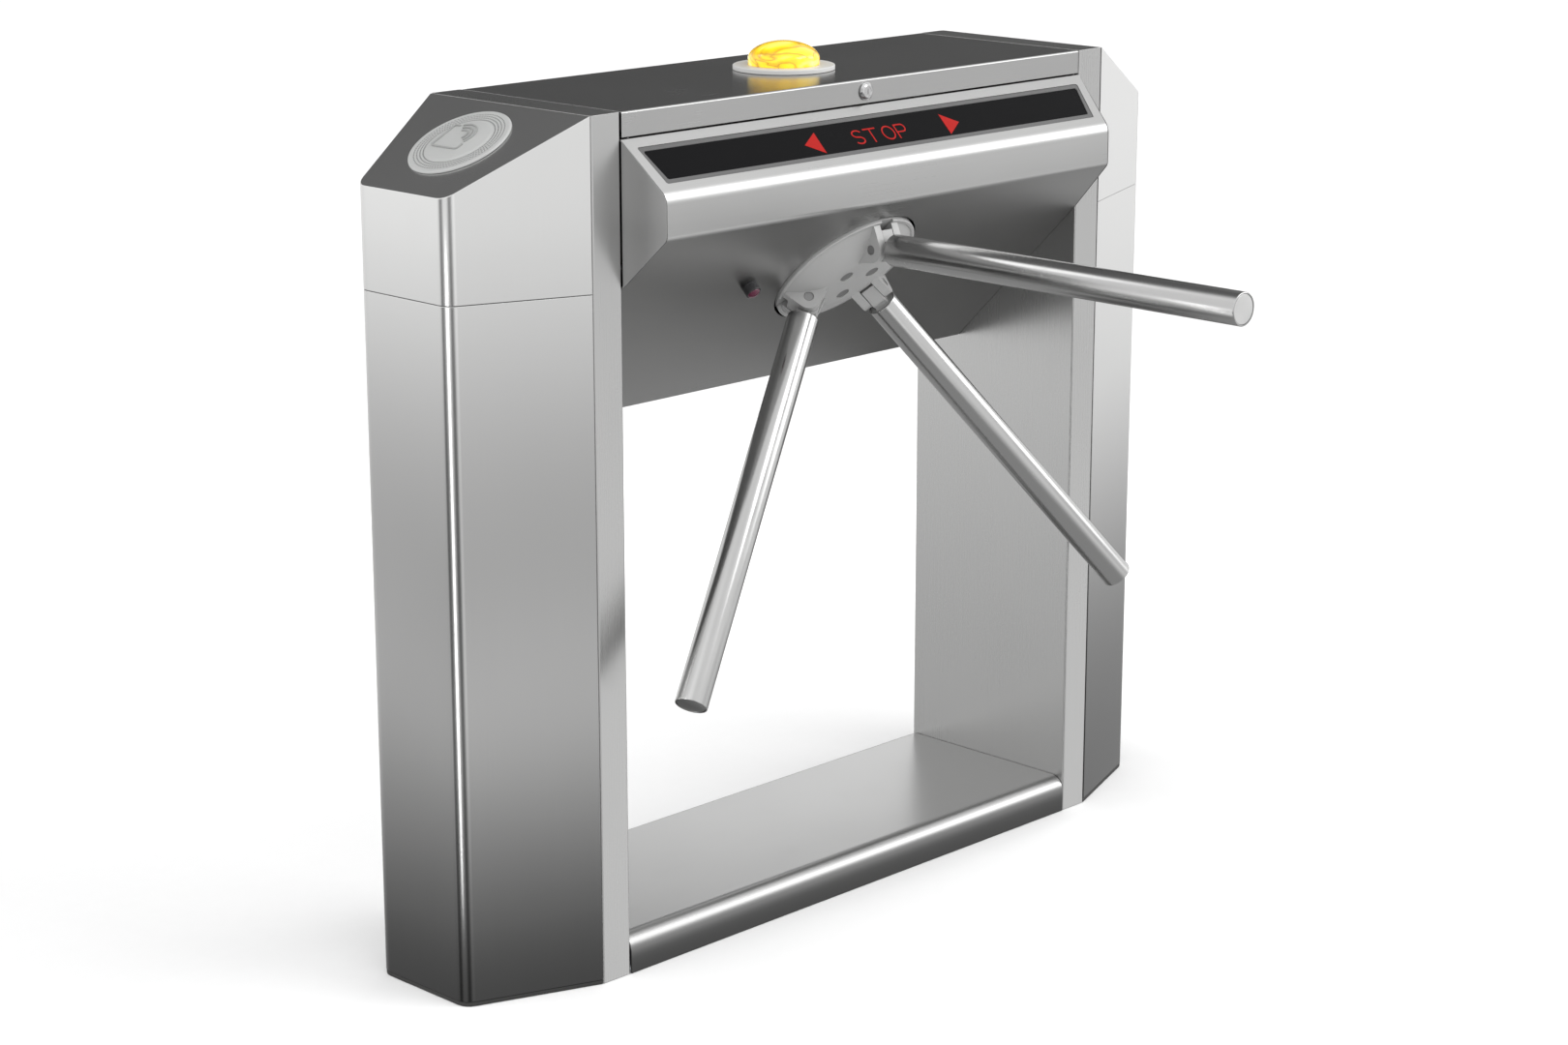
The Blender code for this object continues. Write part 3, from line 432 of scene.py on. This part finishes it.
def dress(material, *names, width=0.0, segments=2):
    """A CAD node keeps its shape and gets its material and small edge rounds."""
    for name in names:
        thing = nodes[name]
        for holder in thing.material_slots:
            holder.link = "OBJECT"
            holder.material = MATERIALS[material]
        weld = thing.modifiers.new("joined corners", "WELD")
        weld.merge_threshold = 0.00001
        if width:
            flats = thing.modifiers.new("whole flats", "DECIMATE")
            flats.decimate_type = "DISSOLVE"
            flats.angle_limit = radians(0.5)
            round_edges(thing, width, segments)


ORDERS = {  # where two flat coordinates and one along the axis go in (x, y, z)
    "x": lambda u, v, t: (t, u, v),
    "y": lambda u, v, t: (u, t, v),
    "z": lambda u, v, t: (u, v, t),
}


def prism(outline, low, high, axis="z"):
    """An outline extruded along an axis."""
    order = ORDERS[axis]
    bm = bmesh.new()
    near = [bm.verts.new(order(u, v, low)) for u, v in outline]
    far = [bm.verts.new(order(u, v, high)) for u, v in outline]
    bm.faces.new(near)
    bm.faces.new(far)
    for i in range(len(near)):
        bm.faces.new((near[i - 1], near[i], far[i], far[i - 1]))
    return bm


def block(low, high):
    (x0, y0, z0), (x1, y1, z1) = low, high
    return prism([(x0, y0), (x1, y0), (x1, y1), (x0, y1)], z0, z1)


def lathe(profile, segments=96, axis="z"):
    """A profile of (radius, height) points turned about an axis, closed onto its first point."""
    order = ORDERS[axis]
    bm = bmesh.new()
    rings = []
    for radius, height in profile:
        if radius == 0:
            rings.append([bm.verts.new(order(0, 0, height))])
            continue
        turns = [2 * pi * k / segments for k in range(segments)]
        rings.append([bm.verts.new(order(radius * cos(a), radius * sin(a), height)) for a in turns])
    for one, two in zip(rings, rings[1:] + rings[:1]):
        if len(one) == len(two) == 1:
            continue
        for k in range(segments):
            if len(one) == 1:
                bm.faces.new((one[0], two[k - 1], two[k]))
            elif len(two) == 1:
                bm.faces.new((one[k], one[k - 1], two[0]))
            else:
                bm.faces.new((one[k], one[k - 1], two[k - 1], two[k]))
    return bm


def rod(radius, low, high, segments=32, axis="z"):
    return lathe([(0, low), (radius, low), (radius, high), (0, high)], segments, axis)


def arc(centre, radius, start, end, steps):
    """Points on a circle, with angles in degrees."""
    turns = [radians(start + (end - start) * k / steps) for k in range(steps + 1)]
    return [(centre[0] + radius * cos(a), centre[1] + radius * sin(a)) for a in turns]


def oval(centre, half_wide, half_high, angles):
    """Points on an upright oval, at angles in degrees."""
    x, y = centre
    turns = [radians(a) for a in angles]
    return [(x + half_wide * cos(t), y + half_high * sin(t)) for t in turns]


def add_ribbon(bm, path, width, low, high, closed=False):
    """A stroke of even width along a flat path, raised from low to high."""
    points = [Vector(p) for p in path]
    count = len(points)
    sides = []
    for i, here in enumerate(points):
        before = points[i - 1] if closed or i > 0 else None
        after = points[(i + 1) % count] if closed or i < count - 1 else None
        runs = [(b - a).normalized() for a, b in ((before, here), (here, after)) if a and b]
        normals = [Vector((-run.y, run.x)) for run in runs]
        mean = sum(normals, Vector((0, 0))).normalized()
        offset = mean * (width / 2 / max(0.3, mean.dot(normals[0])))
        sides.append((here + offset, here - offset))
    rings = []
    for left, right in sides:
        corners = ((left, low), (right, low), (right, high), (left, high))
        rings.append([bm.verts.new((p.x, p.y, z)) for p, z in corners])
    pairs = list(zip(rings, rings[1:])) + ([(rings[-1], rings[0])] if closed else [])
    for one, two in pairs:
        for k in range(4):
            bm.faces.new((one[k - 1], one[k], two[k], two[k - 1]))
    if not closed:
        bm.faces.new(rings[0])
        bm.faces.new(rings[-1])


def carve(target, operation, *solids):
    """Joins or cuts a piece with plain solids, and leaves one finished mesh."""
    for solid in solids:
        step = target.modifiers.new(operation, "BOOLEAN")
        step.operation = operation
        step.object = solid
        step.solver = "EXACT"
    evaluated = target.evaluated_get(bpy.context.evaluated_depsgraph_get())
    finished = bpy.data.meshes.new_from_object(evaluated)
    target.modifiers.clear()
    target.data = finished
    for solid in solids:
        bpy.data.objects.remove(solid)


def tool(bm, matrix):
    """A plain solid for carve, gone once it has been used."""
    return piece("tool", bm, "cast", None, matrix, ride=False)


# --- hub and arms --------------------------------------------------------------------------------
def tangent_point(corner, centre, radius, side):
    """Where a line from a corner touches a circle."""
    reach = Vector(centre) - Vector(corner)
    length = sqrt(reach.length_squared - radius**2)
    bearing = atan2(reach.y, reach.x) + side * atan2(radius, length)
    return corner[0] + length * cos(bearing), corner[1] + length * sin(bearing)


def ear_outline():
    """An ear in the plane of radius and axis: two straight flanks onto a round nose at the pin."""
    centre = (PIN_REACH, PIN_REACH)
    inner, outer, low = 0.040, 0.0925, 0.044
    rim_foot = (outer, HUB_RIM + 0.0005)
    top_foot = (inner, HUB_TOP - 0.0002)
    first = tangent_point(rim_foot, centre, EAR_ROUND, -1)
    last = tangent_point(top_foot, centre, EAR_ROUND, 1)
    start = atan2(first[1] - centre[1], first[0] - centre[0])
    sweep = (atan2(last[1] - centre[1], last[0] - centre[0]) - start) % (2 * pi)
    nose = arc(centre, EAR_ROUND, start * 180 / pi, (start + sweep) * 180 / pi, 18)
    return [(inner, low), (outer, low), rim_foot] + nose + [top_foot]


def dome_profile():
    """The hub's section: flat back, a raised lip round the rim, a shallow dome and a flat middle."""
    lip_inner = HUB_RADIUS - 0.0047
    start = lip_inner - 0.0010
    base = HUB_RIM - 0.0004
    rise = HUB_TOP - base
    run = start - HUB_TOP_RADIUS
    steps = 20
    dome = [(start - run * k / steps, base + rise * sin(pi / 2 * k / steps)) for k in range(steps + 1)]
    edge = arc((HUB_RADIUS - 0.0018, HUB_RIM - 0.0010), 0.0018, 0, 90, 5)
    lip = [(lip_inner + 0.0004, HUB_RIM + 0.0008), (lip_inner, HUB_RIM + 0.0004)]
    back = [(0, HUB_BACK), (HUB_RADIUS - 0.002, HUB_BACK), (HUB_RADIUS, HUB_BACK + 0.002)]
    return back + edge + lip + dome + [(0, HUB_TOP)]


def pin_bore():
    """A rod along Y, a little wider than a fold pin."""
    return rod(PIN_RADIUS + GAP, -0.03, 0.03, 32, "y")


def make_hub():
    hub = piece("hub_casting", lathe(dome_profile(), 128), "cast", None, rotor_frame(), ride=False)
    ears = []
    cutters = []
    for angle in ARM_ANGLES:
        turn = station(angle)
        for side in (-1, 1):
            low, high = sorted((side * EAR_INNER, side * EAR_OUTER))
            ears.append(tool(prism(ear_outline(), low, high, "y"), turn))
        half = EAR_INNER + 0.0002
        slot = block((0.0465, -half, 0.0470), (0.12, half, 0.12))
        cutters.append(tool(slot, turn))
        pin = turn @ Matrix.Translation((PIN_REACH, 0, PIN_REACH))
        cutters.append(tool(pin_bore(), pin))
        well = station(angle + 60) @ Matrix.Translation((SCREW_CIRCLE, 0, 0))
        floor = HUB_TOP - SCREW_WELL
        cutters.append(tool(rod(0.009, floor, 0.08, 40), well))
        head = rod(0.0087, floor, floor + 0.0004, 40)
        piece(f"hub_screw_{angle}", head, "blackening_and_shade", "rotor", well)
    carve(hub, "UNION", *ears)
    carve(hub, "DIFFERENCE", *cutters)
    hub.data.shade_smooth()
    round_edges(hub, 0.0008, 3, angle=28)
    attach(hub, "rotor")
    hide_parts("hub_plate")


def tongue_outline():
    """Side view of an arm's root block: a square heel flush with the ears, and a bar into the tube."""
    shoulder = arc((0.0105, 0.009), 0.006, 14.5, 90, 8)
    heel = [(-0.0125, 0.015), (-0.0141, -0.0028), (0.0073, -0.0240), (0.0123, -BAR_HALF)]
    return heel + [(BAR_END, -BAR_HALF), (BAR_END, BAR_HALF)] + shoulder


def make_arm(number, angle):
    body = f"arm_{number}"
    axis = arm_frame(angle)
    half = EAR_INNER - 0.0006
    bar = piece(f"arm_root_{number}", prism(tongue_outline(), -half, half, "y"), "cast", None, axis,
                ride=False)
    carve(bar, "DIFFERENCE", tool(pin_bore(), axis))
    collar = rod(TUBE_BORE - 0.0002, TUBE_START + 0.0010, TUBE_START + 0.008, 64, "x")
    carve(bar, "UNION", tool(collar, axis))
    bar.data.shade_smooth()
    round_edges(bar, 0.0007, 3)
    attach(bar, body)
    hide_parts(f"arm_tongue_{number}")

    edge = 0.0012
    start = arc((TUBE_RADIUS - edge, TUBE_START + edge), edge, -90, 0, 5)
    end = arc((TUBE_RADIUS - edge, TUBE_END - edge), edge, 0, 90, 5)
    wall = [(TUBE_BORE, TUBE_START)] + start + end + [(TUBE_BORE, TUBE_END)]
    piece(f"arm_bar_{number}", lathe(wall, 96, "x"), "tube", body, axis,
          (f"arm_tube_{number}",))
    rim = TUBE_BORE - GAP
    low = TUBE_END - 0.020
    high = TUBE_END - 0.0004
    plug = [(0, low), (rim, low), (rim, high - 0.0006)] + arc((rim - 0.0006, high - 0.0006), 0.0006, 0, 90, 4)
    piece(f"arm_end_{number}", lathe(plug + [(0, high)], 96, "x"), "cap", body, axis,
          (f"arm_cap_{number}",))
    edge = 0.0005
    near = -EAR_OUTER + 0.0006
    far = EAR_OUTER - 0.0016
    pin = [(0, near), (PIN_RADIUS - edge, near), (PIN_RADIUS, near + edge), (PIN_RADIUS, far), (0, far)]
    piece(f"fold_pin_{number}", lathe(pin, 40, "y"), "pin", "rotor", axis,
          (f"arm_pin_{number}",))
    # a dark disc on the pin's end, set back in the ear: painted shade of the bore
    socket = rod(PIN_RADIUS - 0.0001, far, far + 0.0003, 40, "y")
    piece(f"fold_pin_end_shade_{number}", socket, "blackening_and_shade", "rotor", axis)


# --- display -------------------------------------------------------------------------------------
LETTER_HIGH = 0.0214
LETTER_LOW = -0.0548  # foot of the letters, up the display face from its upper edge
STROKE = 0.0020
SIGN_LOW = -0.0016
SIGN_HIGH = -0.0011


def letter_paths():
    """The word STOP as strokes: each a path of points, and whether it closes on itself."""
    top = LETTER_LOW + LETTER_HIGH - STROKE / 2
    foot = LETTER_LOW + STROKE / 2
    middle = (top + foot) / 2
    bow = (top - foot) / 4
    half_s = 0.0078
    s_x = -0.0448
    upper = oval((s_x, middle + bow), half_s, bow, range(22, 271, 12))
    lower = oval((s_x, middle - bow), half_s, bow, range(78, -159, -12))
    t_x = -0.0205
    half_t = 0.0108
    o_x = 0.0088
    half_o = 0.0098
    round_o = oval((o_x, middle), half_o, 2 * bow, range(0, 360, 12))
    p_x = 0.0240
    bowl = 0.0053
    bowl_x = p_x + 0.0112
    p_round = arc((bowl_x, top - bowl), bowl, 90, -90, 12)
    return [(upper + lower, False),
            ([(t_x - half_t, top), (t_x + half_t, top)], False),
            ([(t_x, top - STROKE / 2), (t_x, LETTER_LOW)], False),
            (round_o, True),
            ([(p_x, LETTER_LOW), (p_x, top)] + p_round + [(p_x + STROKE / 2, top - 2 * bowl)], False)]


def make_sign():
    bm = bmesh.new()
    for path, closed in letter_paths():
        add_ribbon(bm, path, STROKE, SIGN_LOW, SIGN_HIGH, closed)
    piece("sign_word", bm, "sign_red", "housing", display_frame())
    middle = LETTER_LOW + LETTER_HIGH / 2
    tip, back, half = 0.138, 0.1115, 0.0158
    for side, word in SIDES:
        arrow = [(side * tip, middle), (side * back, middle + half), (side * back, middle - half)]
        piece(f"sign_arrow_{word}", prism(arrow, SIGN_LOW, SIGN_HIGH), "sign_red", "housing",
              display_frame())


# --- card readers --------------------------------------------------------------------------------
READER_RADIUS = 0.0635
HOLE_RINGS = (0.0440, 0.0479, 0.0518, 0.0557)
HOLES_ROUND = 88
HOLE_RADIUS = 0.00112


def reader_holes():
    """All the sound holes as one solid: four staggered rings of short rods."""
    bm = bmesh.new()
    for ring, radius in enumerate(HOLE_RINGS):
        for k in range(HOLES_ROUND):
            turn = 2 * pi * (k + 0.5 * (ring % 2)) / HOLES_ROUND
            x, y = radius * cos(turn), radius * sin(turn)
            rim = arc((x, y), HOLE_RADIUS, 0, 315, 7)
            near, far = ([bm.verts.new((px, py, z)) for px, py in rim] for z in (0.0020, 0.006))
            bm.faces.new(near)
            bm.faces.new(far)
            for i in range(len(rim)):
                bm.faces.new((near[i - 1], near[i], far[i], far[i - 1]))
    return bm


CARD_LOW = (-0.0170, -0.0130)
CARD_HIGH = (0.0255, 0.0315)
WAVE_CENTRE = (0.009, 0.007)
WAVE_RADII = (0.0095, 0.0153, 0.0210)
SIGN_LINE = 0.0019  # width of the raised lines, and the heights of their foot and crest
SIGN_FOOT = 0.0040
SIGN_CREST = 0.0058


def make_card_sign(side, word):
    """A raised card outline, open at one corner, where three waves spread from it."""
    (x0, y0), (x1, y1) = CARD_LOW, CARD_HIGH
    corner = 0.004
    card = [(x1, y1 - 0.0095)]
    card += arc((x1 - corner, y1 - corner), corner, 0, 90, 6)
    card += arc((x0 + corner, y1 - corner), corner, 90, 180, 6)
    card += arc((x0 + corner, y0 + corner), corner, 180, 270, 6)
    card += [(x0 + 0.0110, y0)]
    waves = [arc(WAVE_CENTRE, radius, 33, -122, 24) for radius in WAVE_RADII]
    bm = bmesh.new()
    for path in [card] + waves:
        add_ribbon(bm, path, SIGN_LINE, SIGN_FOOT, SIGN_CREST)
    turn = Matrix.Rotation(pi if side > 0 else 0, 4, "Z")
    # drawn darker than the grille, as painted shade along its raised lines
    piece(f"reader_sign_{word}", bm, "sign_painted_shade", "housing", reader_frame(side) @ turn,
          bevel=0.0003, segments=2)


def make_reader(side, word):
    make_card_sign(side, word)
    place = reader_frame(side)
    hollow = [(0, GAP), (0.0412, GAP), (0.0412, 0.0026), (0.0588, 0.0026), (0.0588, GAP)]
    rim = [(READER_RADIUS - 0.0003, GAP)] + arc((READER_RADIUS - 0.0026, 0.0005), 0.0026, 0, 84, 8)
    grille = [(0.0588, 0.0030), (0.0415, 0.0030)]
    raised = [(0.0405, 0.0034), (0.0390, 0.0040), (0.0375, 0.0042), (0, 0.0042)]
    profile = hollow + rim + grille + raised
    # a black ring under the grille that paints the shade inside the sound holes
    hole_shade = [(0.0414, 0.0004), (0.0586, 0.0004), (0.0586, 0.0025), (0.0414, 0.0025)]
    piece(f"reader_hole_shade_{word}", lathe(hole_shade, 96), "black", "housing", place)
    cover = piece(f"reader_grille_{word}", lathe(profile, 128), "reader", None, place, ride=False)
    carve(cover, "DIFFERENCE", tool(reader_holes(), place))
    cover.data.shade_smooth()
    cover.data.set_sharp_from_angle(angle=radians(35))
    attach(cover, "housing")
    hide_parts(f"reader_cover_{word}")


# --- seams of the front cover --------------------------------------------------------------------
COVER_HALF = 0.4075
COVER_TAPER = 0.012
BEND = 0.010
KNEE_BEND = 0.022
SEAM_RADIUS = 0.00042


def corner_arc(before, here, after, radius, steps):
    """The round stretch that replaces one corner of a flat path."""
    back = (Vector(before) - Vector(here)).normalized()
    onward = (Vector(after) - Vector(here)).normalized()
    half = back.angle(onward) / 2
    centre = Vector(here) + (back + onward).normalized() * radius / sin(half)
    start = Vector(here) + back * radius / tan(half) - centre
    finish = Vector(here) + onward * radius / tan(half) - centre
    first = atan2(start.y, start.x)
    sweep = (atan2(finish.y, finish.x) - first + pi) % (2 * pi) - pi
    turns = [first + sweep * k / steps for k in range(steps + 1)]
    return [(centre.x + radius * cos(a), centre.y + radius * sin(a)) for a in turns]


def add_wire(bm, path, radius, sides=8):
    """A round wire along a path of points in space."""
    rings = []
    for i, here in enumerate(path):
        run = (path[min(i + 1, len(path) - 1)] - path[max(i - 1, 0)]).normalized()
        across = run.cross(Vector((1, 0, 0.001))).normalized()
        up = run.cross(across)
        turns = [2 * pi * k / sides for k in range(sides)]
        rings.append([bm.verts.new(here + radius * (cos(a) * across + sin(a) * up)) for a in turns])
    for one, two in zip(rings, rings[1:]):
        for k in range(sides):
            bm.faces.new((one[k - 1], one[k], two[k], two[k - 1]))
    bm.faces.new(rings[0])
    bm.faces.new(rings[-1])


def make_cheek_seam(side, word):
    """The dark joint line where a cheek plate meets the folded front: a thin dark wire that paints the shade
    in the joint.
    """
    nose_low = SLOPE_START_Z - (KNEE_Y + HALF_DEPTH)
    top, knee = (-HALF_DEPTH, COVER_TOP - 0.0006), (KNEE_Y, KNEE_HIGH)
    low, foot = (KNEE_Y, nose_low), (-HALF_DEPTH, SLOPE_START_Z)
    flat = [top] + corner_arc(top, knee, low, KNEE_BEND, 10) + corner_arc(knee, low, foot, BEND, 8) + [foot]
    lean = COVER_TAPER / (HALF_DEPTH + KNEE_Y)
    path = [Vector((side * (COVER_HALF - 0.0006 - lean * (y + HALF_DEPTH)), y, z)) for y, z in flat]
    bm = bmesh.new()
    add_wire(bm, path, SEAM_RADIUS)
    piece(f"cheek_seam_{word}", bm, "shadow_gap", "housing")


# --- small fittings ------------------------------------------------------------------------------
def make_relief_holes():
    """The round relief at each end of the gap between the lid and the front cover: a dark disc that paints
    the shade inside the hole.
    """
    for side, word in SIDES:
        spot = Matrix.Translation((side * 0.3965, 0, COVER_TOP + 0.0008))
        disc = rod(0.0015, -HALF_DEPTH - 0.0003, -HALF_DEPTH + 0.0012, 24, "y")
        piece(f"relief_hole_{word}", disc, "shadow_gap", "housing", spot)


LENS_FOOT = 0.0063
LENS_SHOULDER = 0.013


def lens_curve(radius, rise, steps=24):
    """Half a section of the beacon's lens: upright, then an oval up to the axis."""
    turns = [pi / 2 * k / steps for k in range(steps)]
    dome = [(radius * cos(turn), LENS_SHOULDER + rise * sin(turn)) for turn in turns]
    return [(radius, LENS_FOOT)] + dome + [(0, LENS_SHOULDER + rise)]


def make_beacon():
    spot = Matrix.Translation((0, 0, HEIGHT))
    rim = arc((0.0628, 0.0048), 0.0012, 0, 90, 5)
    foot = [(0.0385, GAP), (0.0636, GAP), (0.0640, 0.0007)] + rim + [(0.0385, 0.0060)]
    piece("beacon_foot", lathe(foot, 128), "white", "lid", spot, ("beacon_base",))
    shell = lens_curve(0.045, 0.0225) + lens_curve(0.0425, 0.0203)[::-1]
    piece("beacon_lens", lathe(shell, 128), "amber", "lid", spot, ("beacon_dome",))
    lamp = [(0, 0.0005), (0.034, 0.0005), (0.034, 0.004), (0.013, 0.004), (0.011, 0.024), (0, 0.026)]
    piece("beacon_bulb", lathe(lamp, 48), "lamp", "lid", spot, ("beacon_lamp",))


def make_lock():
    axis = Matrix.Translation((0, 0, LOCK_Z))
    face = -0.1446
    back = -HALF_DEPTH - GAP
    dish = [(0, face + 0.0004), (0.0055, face + 0.0004), (0.0057, face), (0.0076, face)]
    flank = [(0.0079, face + 0.0002), (0.0110, face + 0.0025), (0.0113, face + 0.0029), (0.0113, back)]
    barrel = dish + flank + [(0.0070, back), (0.0070, -0.116), (0, -0.116)]
    lock = piece("lock_plug", lathe(barrel, 64, "y"), "ground", None, axis, ride=False)
    carve(lock, "DIFFERENCE", tool(block((-0.0005, -0.15, -0.0032), (0.0005, -0.1408, 0.0032)), axis))
    lock.data.shade_smooth()
    lock.data.set_sharp_from_angle(angle=radians(30))
    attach(lock, "lid_lock")
    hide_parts("lock_barrel")


def make_sensor():
    spot = rotor_frame() @ Matrix.Translation((SENSOR_X, 0, 0))
    mouth = PANEL_OUT + 0.0115
    seat = PANEL_OUT + 0.0085
    ridges = []
    for k in range(6):
        low = PANEL_OUT + 0.0022 + 0.0013 * k
        ridges += [(0.0100, low), (0.0096, low + 0.0003), (0.0096, low + 0.0006), (0.0100, low + 0.0009)]
    stem = [(0.0070, 0.0310), (0.0084, 0.0310), (0.0084, PANEL_OUT + GAP), (0.0100, PANEL_OUT + GAP)]
    lip = arc((0.0092, mouth - 0.0008), 0.0008, 0, 90, 4) + [(0.0086, mouth), (0.0086, seat), (0.0070, seat)]
    barrel = stem + ridges + lip
    piece("sensor_barrel", lathe(barrel, 64), "black", "housing", spot, ("sensor_body",))
    wide, rise = 0.0083, 0.0038
    crown = oval((0, mouth), wide, rise, range(0, 90, 10))
    lens = [(0, seat + GAP), (wide, seat + GAP)] + crown + [(0, mouth + rise)]
    piece("sensor_window", lathe(lens, 64), "magenta", "housing", spot, ("sensor_lens",))


# --- the scene -----------------------------------------------------------------------------------
def make_camera():
    data = bpy.data.cameras.new("camera")
    data.lens = 76.35
    data.sensor_width = 36.0
    camera = bpy.data.objects.new("camera", data)
    camera.location = (-2.966, -2.910, 1.572)
    azimuth, elevation = radians(45.55), radians(-14.93)
    forward = Vector((sin(azimuth) * cos(elevation), cos(azimuth) * cos(elevation), sin(elevation)))
    camera.rotation_euler = forward.to_track_quat("-Z", "Y").to_euler()
    bpy.context.scene.collection.objects.link(camera)
    bpy.context.scene.camera = camera


def make_softbox(name, place, aim, wide, high, power):
    data = bpy.data.lights.new(name, "AREA")
    data.shape = "RECTANGLE"
    data.size = wide
    data.size_y = high
    data.energy = power
    light = bpy.data.objects.new(name, data)
    light.location = place
    light.rotation_euler = (Vector(aim) - Vector(place)).to_track_quat("-Z", "Y").to_euler()
    light.visible_camera = False
    bpy.context.scene.collection.objects.link(light)


AMBIENT = 1.28  # brightness in every direction, before the parts below
DARKEST = 0.10  # what the dimmest direction keeps
# Parts of the studio by direction: (towards x, y, z), half-angle inside, half-angle outside, brightness added
STUDIO = (
    ((0.0, 0.0, -1.0), 60, 84, -0.80),  # dim ground
    ((0.70, -0.70, -0.57), 10, 20, 0.60),  # lit ground on the lane side
    ((0.70, -0.70, 0.0), 5, 20, -0.30),
    ((-0.69, 0.68, -0.06), 4, 16, 0.28),
    ((-0.69, 0.68, -0.31), 2, 10, -0.26),
    ((-0.69, -0.68, 0.32), 8, 24, -0.50),  # dims the flat tops as seen from behind, on the right
    ((0.70, 0.70, 0.10), 14, 34, -1.20),  # low dim wall behind
    ((0.22, 0.68, 0.72), 16, 38, -1.10),  # dim upper part of it
    ((-0.35, 0.68, 0.64), 4, 12, 1.6),  # narrow lamp behind
    ((0.80, -0.50, 0.34), 6, 18, 3.6),  # lamp wall on the lane side
    ((0.69, -0.26, 0.68), 14, 30, -0.12),
    ((-0.75, -0.30, 0.55), 10, 30, 0.5),
    ((-0.945, 0.20, -0.26), 6, 17, -1.1),  # the two dim and two bright bands that the bent corners show
    ((-0.645, -0.72, -0.26), 6, 16, -1.1),
    ((-0.25, -0.93, -0.26), 3, 10, 0.6),
)


def make_world():
    """A bright studio with soft lamps and a few dim walls, all seen only as reflections."""
    world = bpy.data.worlds.new("studio")
    bpy.context.scene.world = world
    world.use_nodes = True
    tree = world.node_tree
    background = tree.nodes["Background"]
    coordinates = tree.nodes.new("ShaderNodeTexCoord")
    total = None
    for direction, inside, outside, gain in STUDIO:
        facing = tree.nodes.new("ShaderNodeVectorMath")
        facing.operation = "DOT_PRODUCT"
        facing.inputs[1].default_value = Vector(direction).normalized()
        patch = tree.nodes.new("ShaderNodeMapRange")
        patch.interpolation_type = "SMOOTHSTEP"
        for socket, value in (("From Min", cos(radians(outside))), ("From Max", cos(radians(inside))),
                              ("To Min", 0.0), ("To Max", gain)):
            patch.inputs[socket].default_value = value
        tree.links.new(coordinates.outputs["Generated"], facing.inputs[0])
        tree.links.new(facing.outputs["Value"], patch.inputs["Value"])
        sum_up = tree.nodes.new("ShaderNodeMath")
        sum_up.operation = "ADD"
        tree.links.new(patch.outputs["Result"], sum_up.inputs[0])
        if total is None:
            sum_up.inputs[1].default_value = AMBIENT
        else:
            tree.links.new(total, sum_up.inputs[1])
        total = sum_up.outputs[0]
    # the camera itself sees a plain backdrop, so the dim walls show in the metal only
    backdrop = tree.nodes.new("ShaderNodeMath")
    backdrop.operation = "MULTIPLY_ADD"
    backdrop.inputs[1].default_value = AMBIENT
    backdrop.inputs[2].default_value = DARKEST
    tree.links.new(tree.nodes.new("ShaderNodeLightPath").outputs["Is Camera Ray"], backdrop.inputs[0])
    strength = tree.nodes.new("ShaderNodeMath")
    strength.operation = "MAXIMUM"
    tree.links.new(total, strength.inputs[0])
    tree.links.new(backdrop.outputs[0], strength.inputs[1])
    tree.links.new(strength.outputs[0], background.inputs["Strength"])
    background.inputs["Color"].default_value = (1.0, 1.0, 1.0, 1.0)


def make_floor():
    bm = bmesh.new()
    bmesh.ops.create_grid(bm, x_segments=1, y_segments=1, size=60.0)
    mesh = bpy.data.meshes.new("floor")
    bm.to_mesh(mesh)
    bm.free()
    surface = Recipe("floor_paint", Roughness=0.9, Specular_IOR_Level=0.1)
    grain = surface.noise(40.0, detail=2.0)
    surface.color(surface.mixed(grain, (0.905, 0.905, 0.905), (0.92, 0.92, 0.92)))
    mesh.materials.append(surface.material)
    floor = bpy.data.objects.new("floor", mesh)
    floor.location.z = -0.0005
    floor.visible_glossy = False
    bpy.context.scene.collection.objects.link(floor)


make_hub()
for number, angle in enumerate(ARM_ANGLES, 1):
    make_arm(number, angle)
make_sign()
for side, word in SIDES:
    make_reader(side, word)
for side, word in SIDES:
    make_cheek_seam(side, word)
make_relief_holes()
make_beacon()
make_lock()
make_sensor()

dress("sheet_left", "column_shell_left", "column_cap_left", width=0.0010)
dress("sheet_right", "column_shell_right", "column_cap_right", width=0.0010)
dress("sheet_pillar", "pillar_left", "pillar_right", width=0.0012)
dress("sheet_cover", "front_cover", width=0.0007)
dress("sheet_tread", "sill_tread", width=0.0008)
dress("sheet_across", "bridge_tray", "lid_panel", width=0.0007)
dress("rubber", "column_foot_left", "column_foot_right", width=0.0006)
dress("bezel", "display_bezel")
dress("window", "display_window")
dress("board", "display_board", "control_board", width=0.0003)
dress("reader", "reader_body_left", "reader_body_right")
dress("zinc", "anchor_plate_left", "anchor_plate_right", "base_channel", "chassis_plate", "index_cam",
      "centering_arm", "lock_cam", "hinge_leaf_fixed", "hinge_leaf_lid", "power_supply", "rotor_shaft",
      width=0.0003)
dress("ground", "bearing_front", "bearing_rear", "lock_bolt_left", "lock_bolt_right", "hinge_pin")
dress("cast", "bearing_housing", width=0.0006)
dress("black", "solenoid_left", "solenoid_right", "encoder_disc", width=0.0004)

make_camera()
make_world()
make_floor()
make_softbox("key", (1.4, -3.0, 3.6), (0, 0, 0.7), 2.4, 1.4, 45)
make_softbox("low_back", (1.45, 1.45, 0.72), (0, 0, 0.05), 1.7, 0.6, 5)
make_softbox("corner_strip", (-0.92, -0.165, 0.42), (-0.60, -0.07, 0.42), 0.05, 0.84, 0.8)

bpy.context.scene.view_settings.view_transform = "Standard"
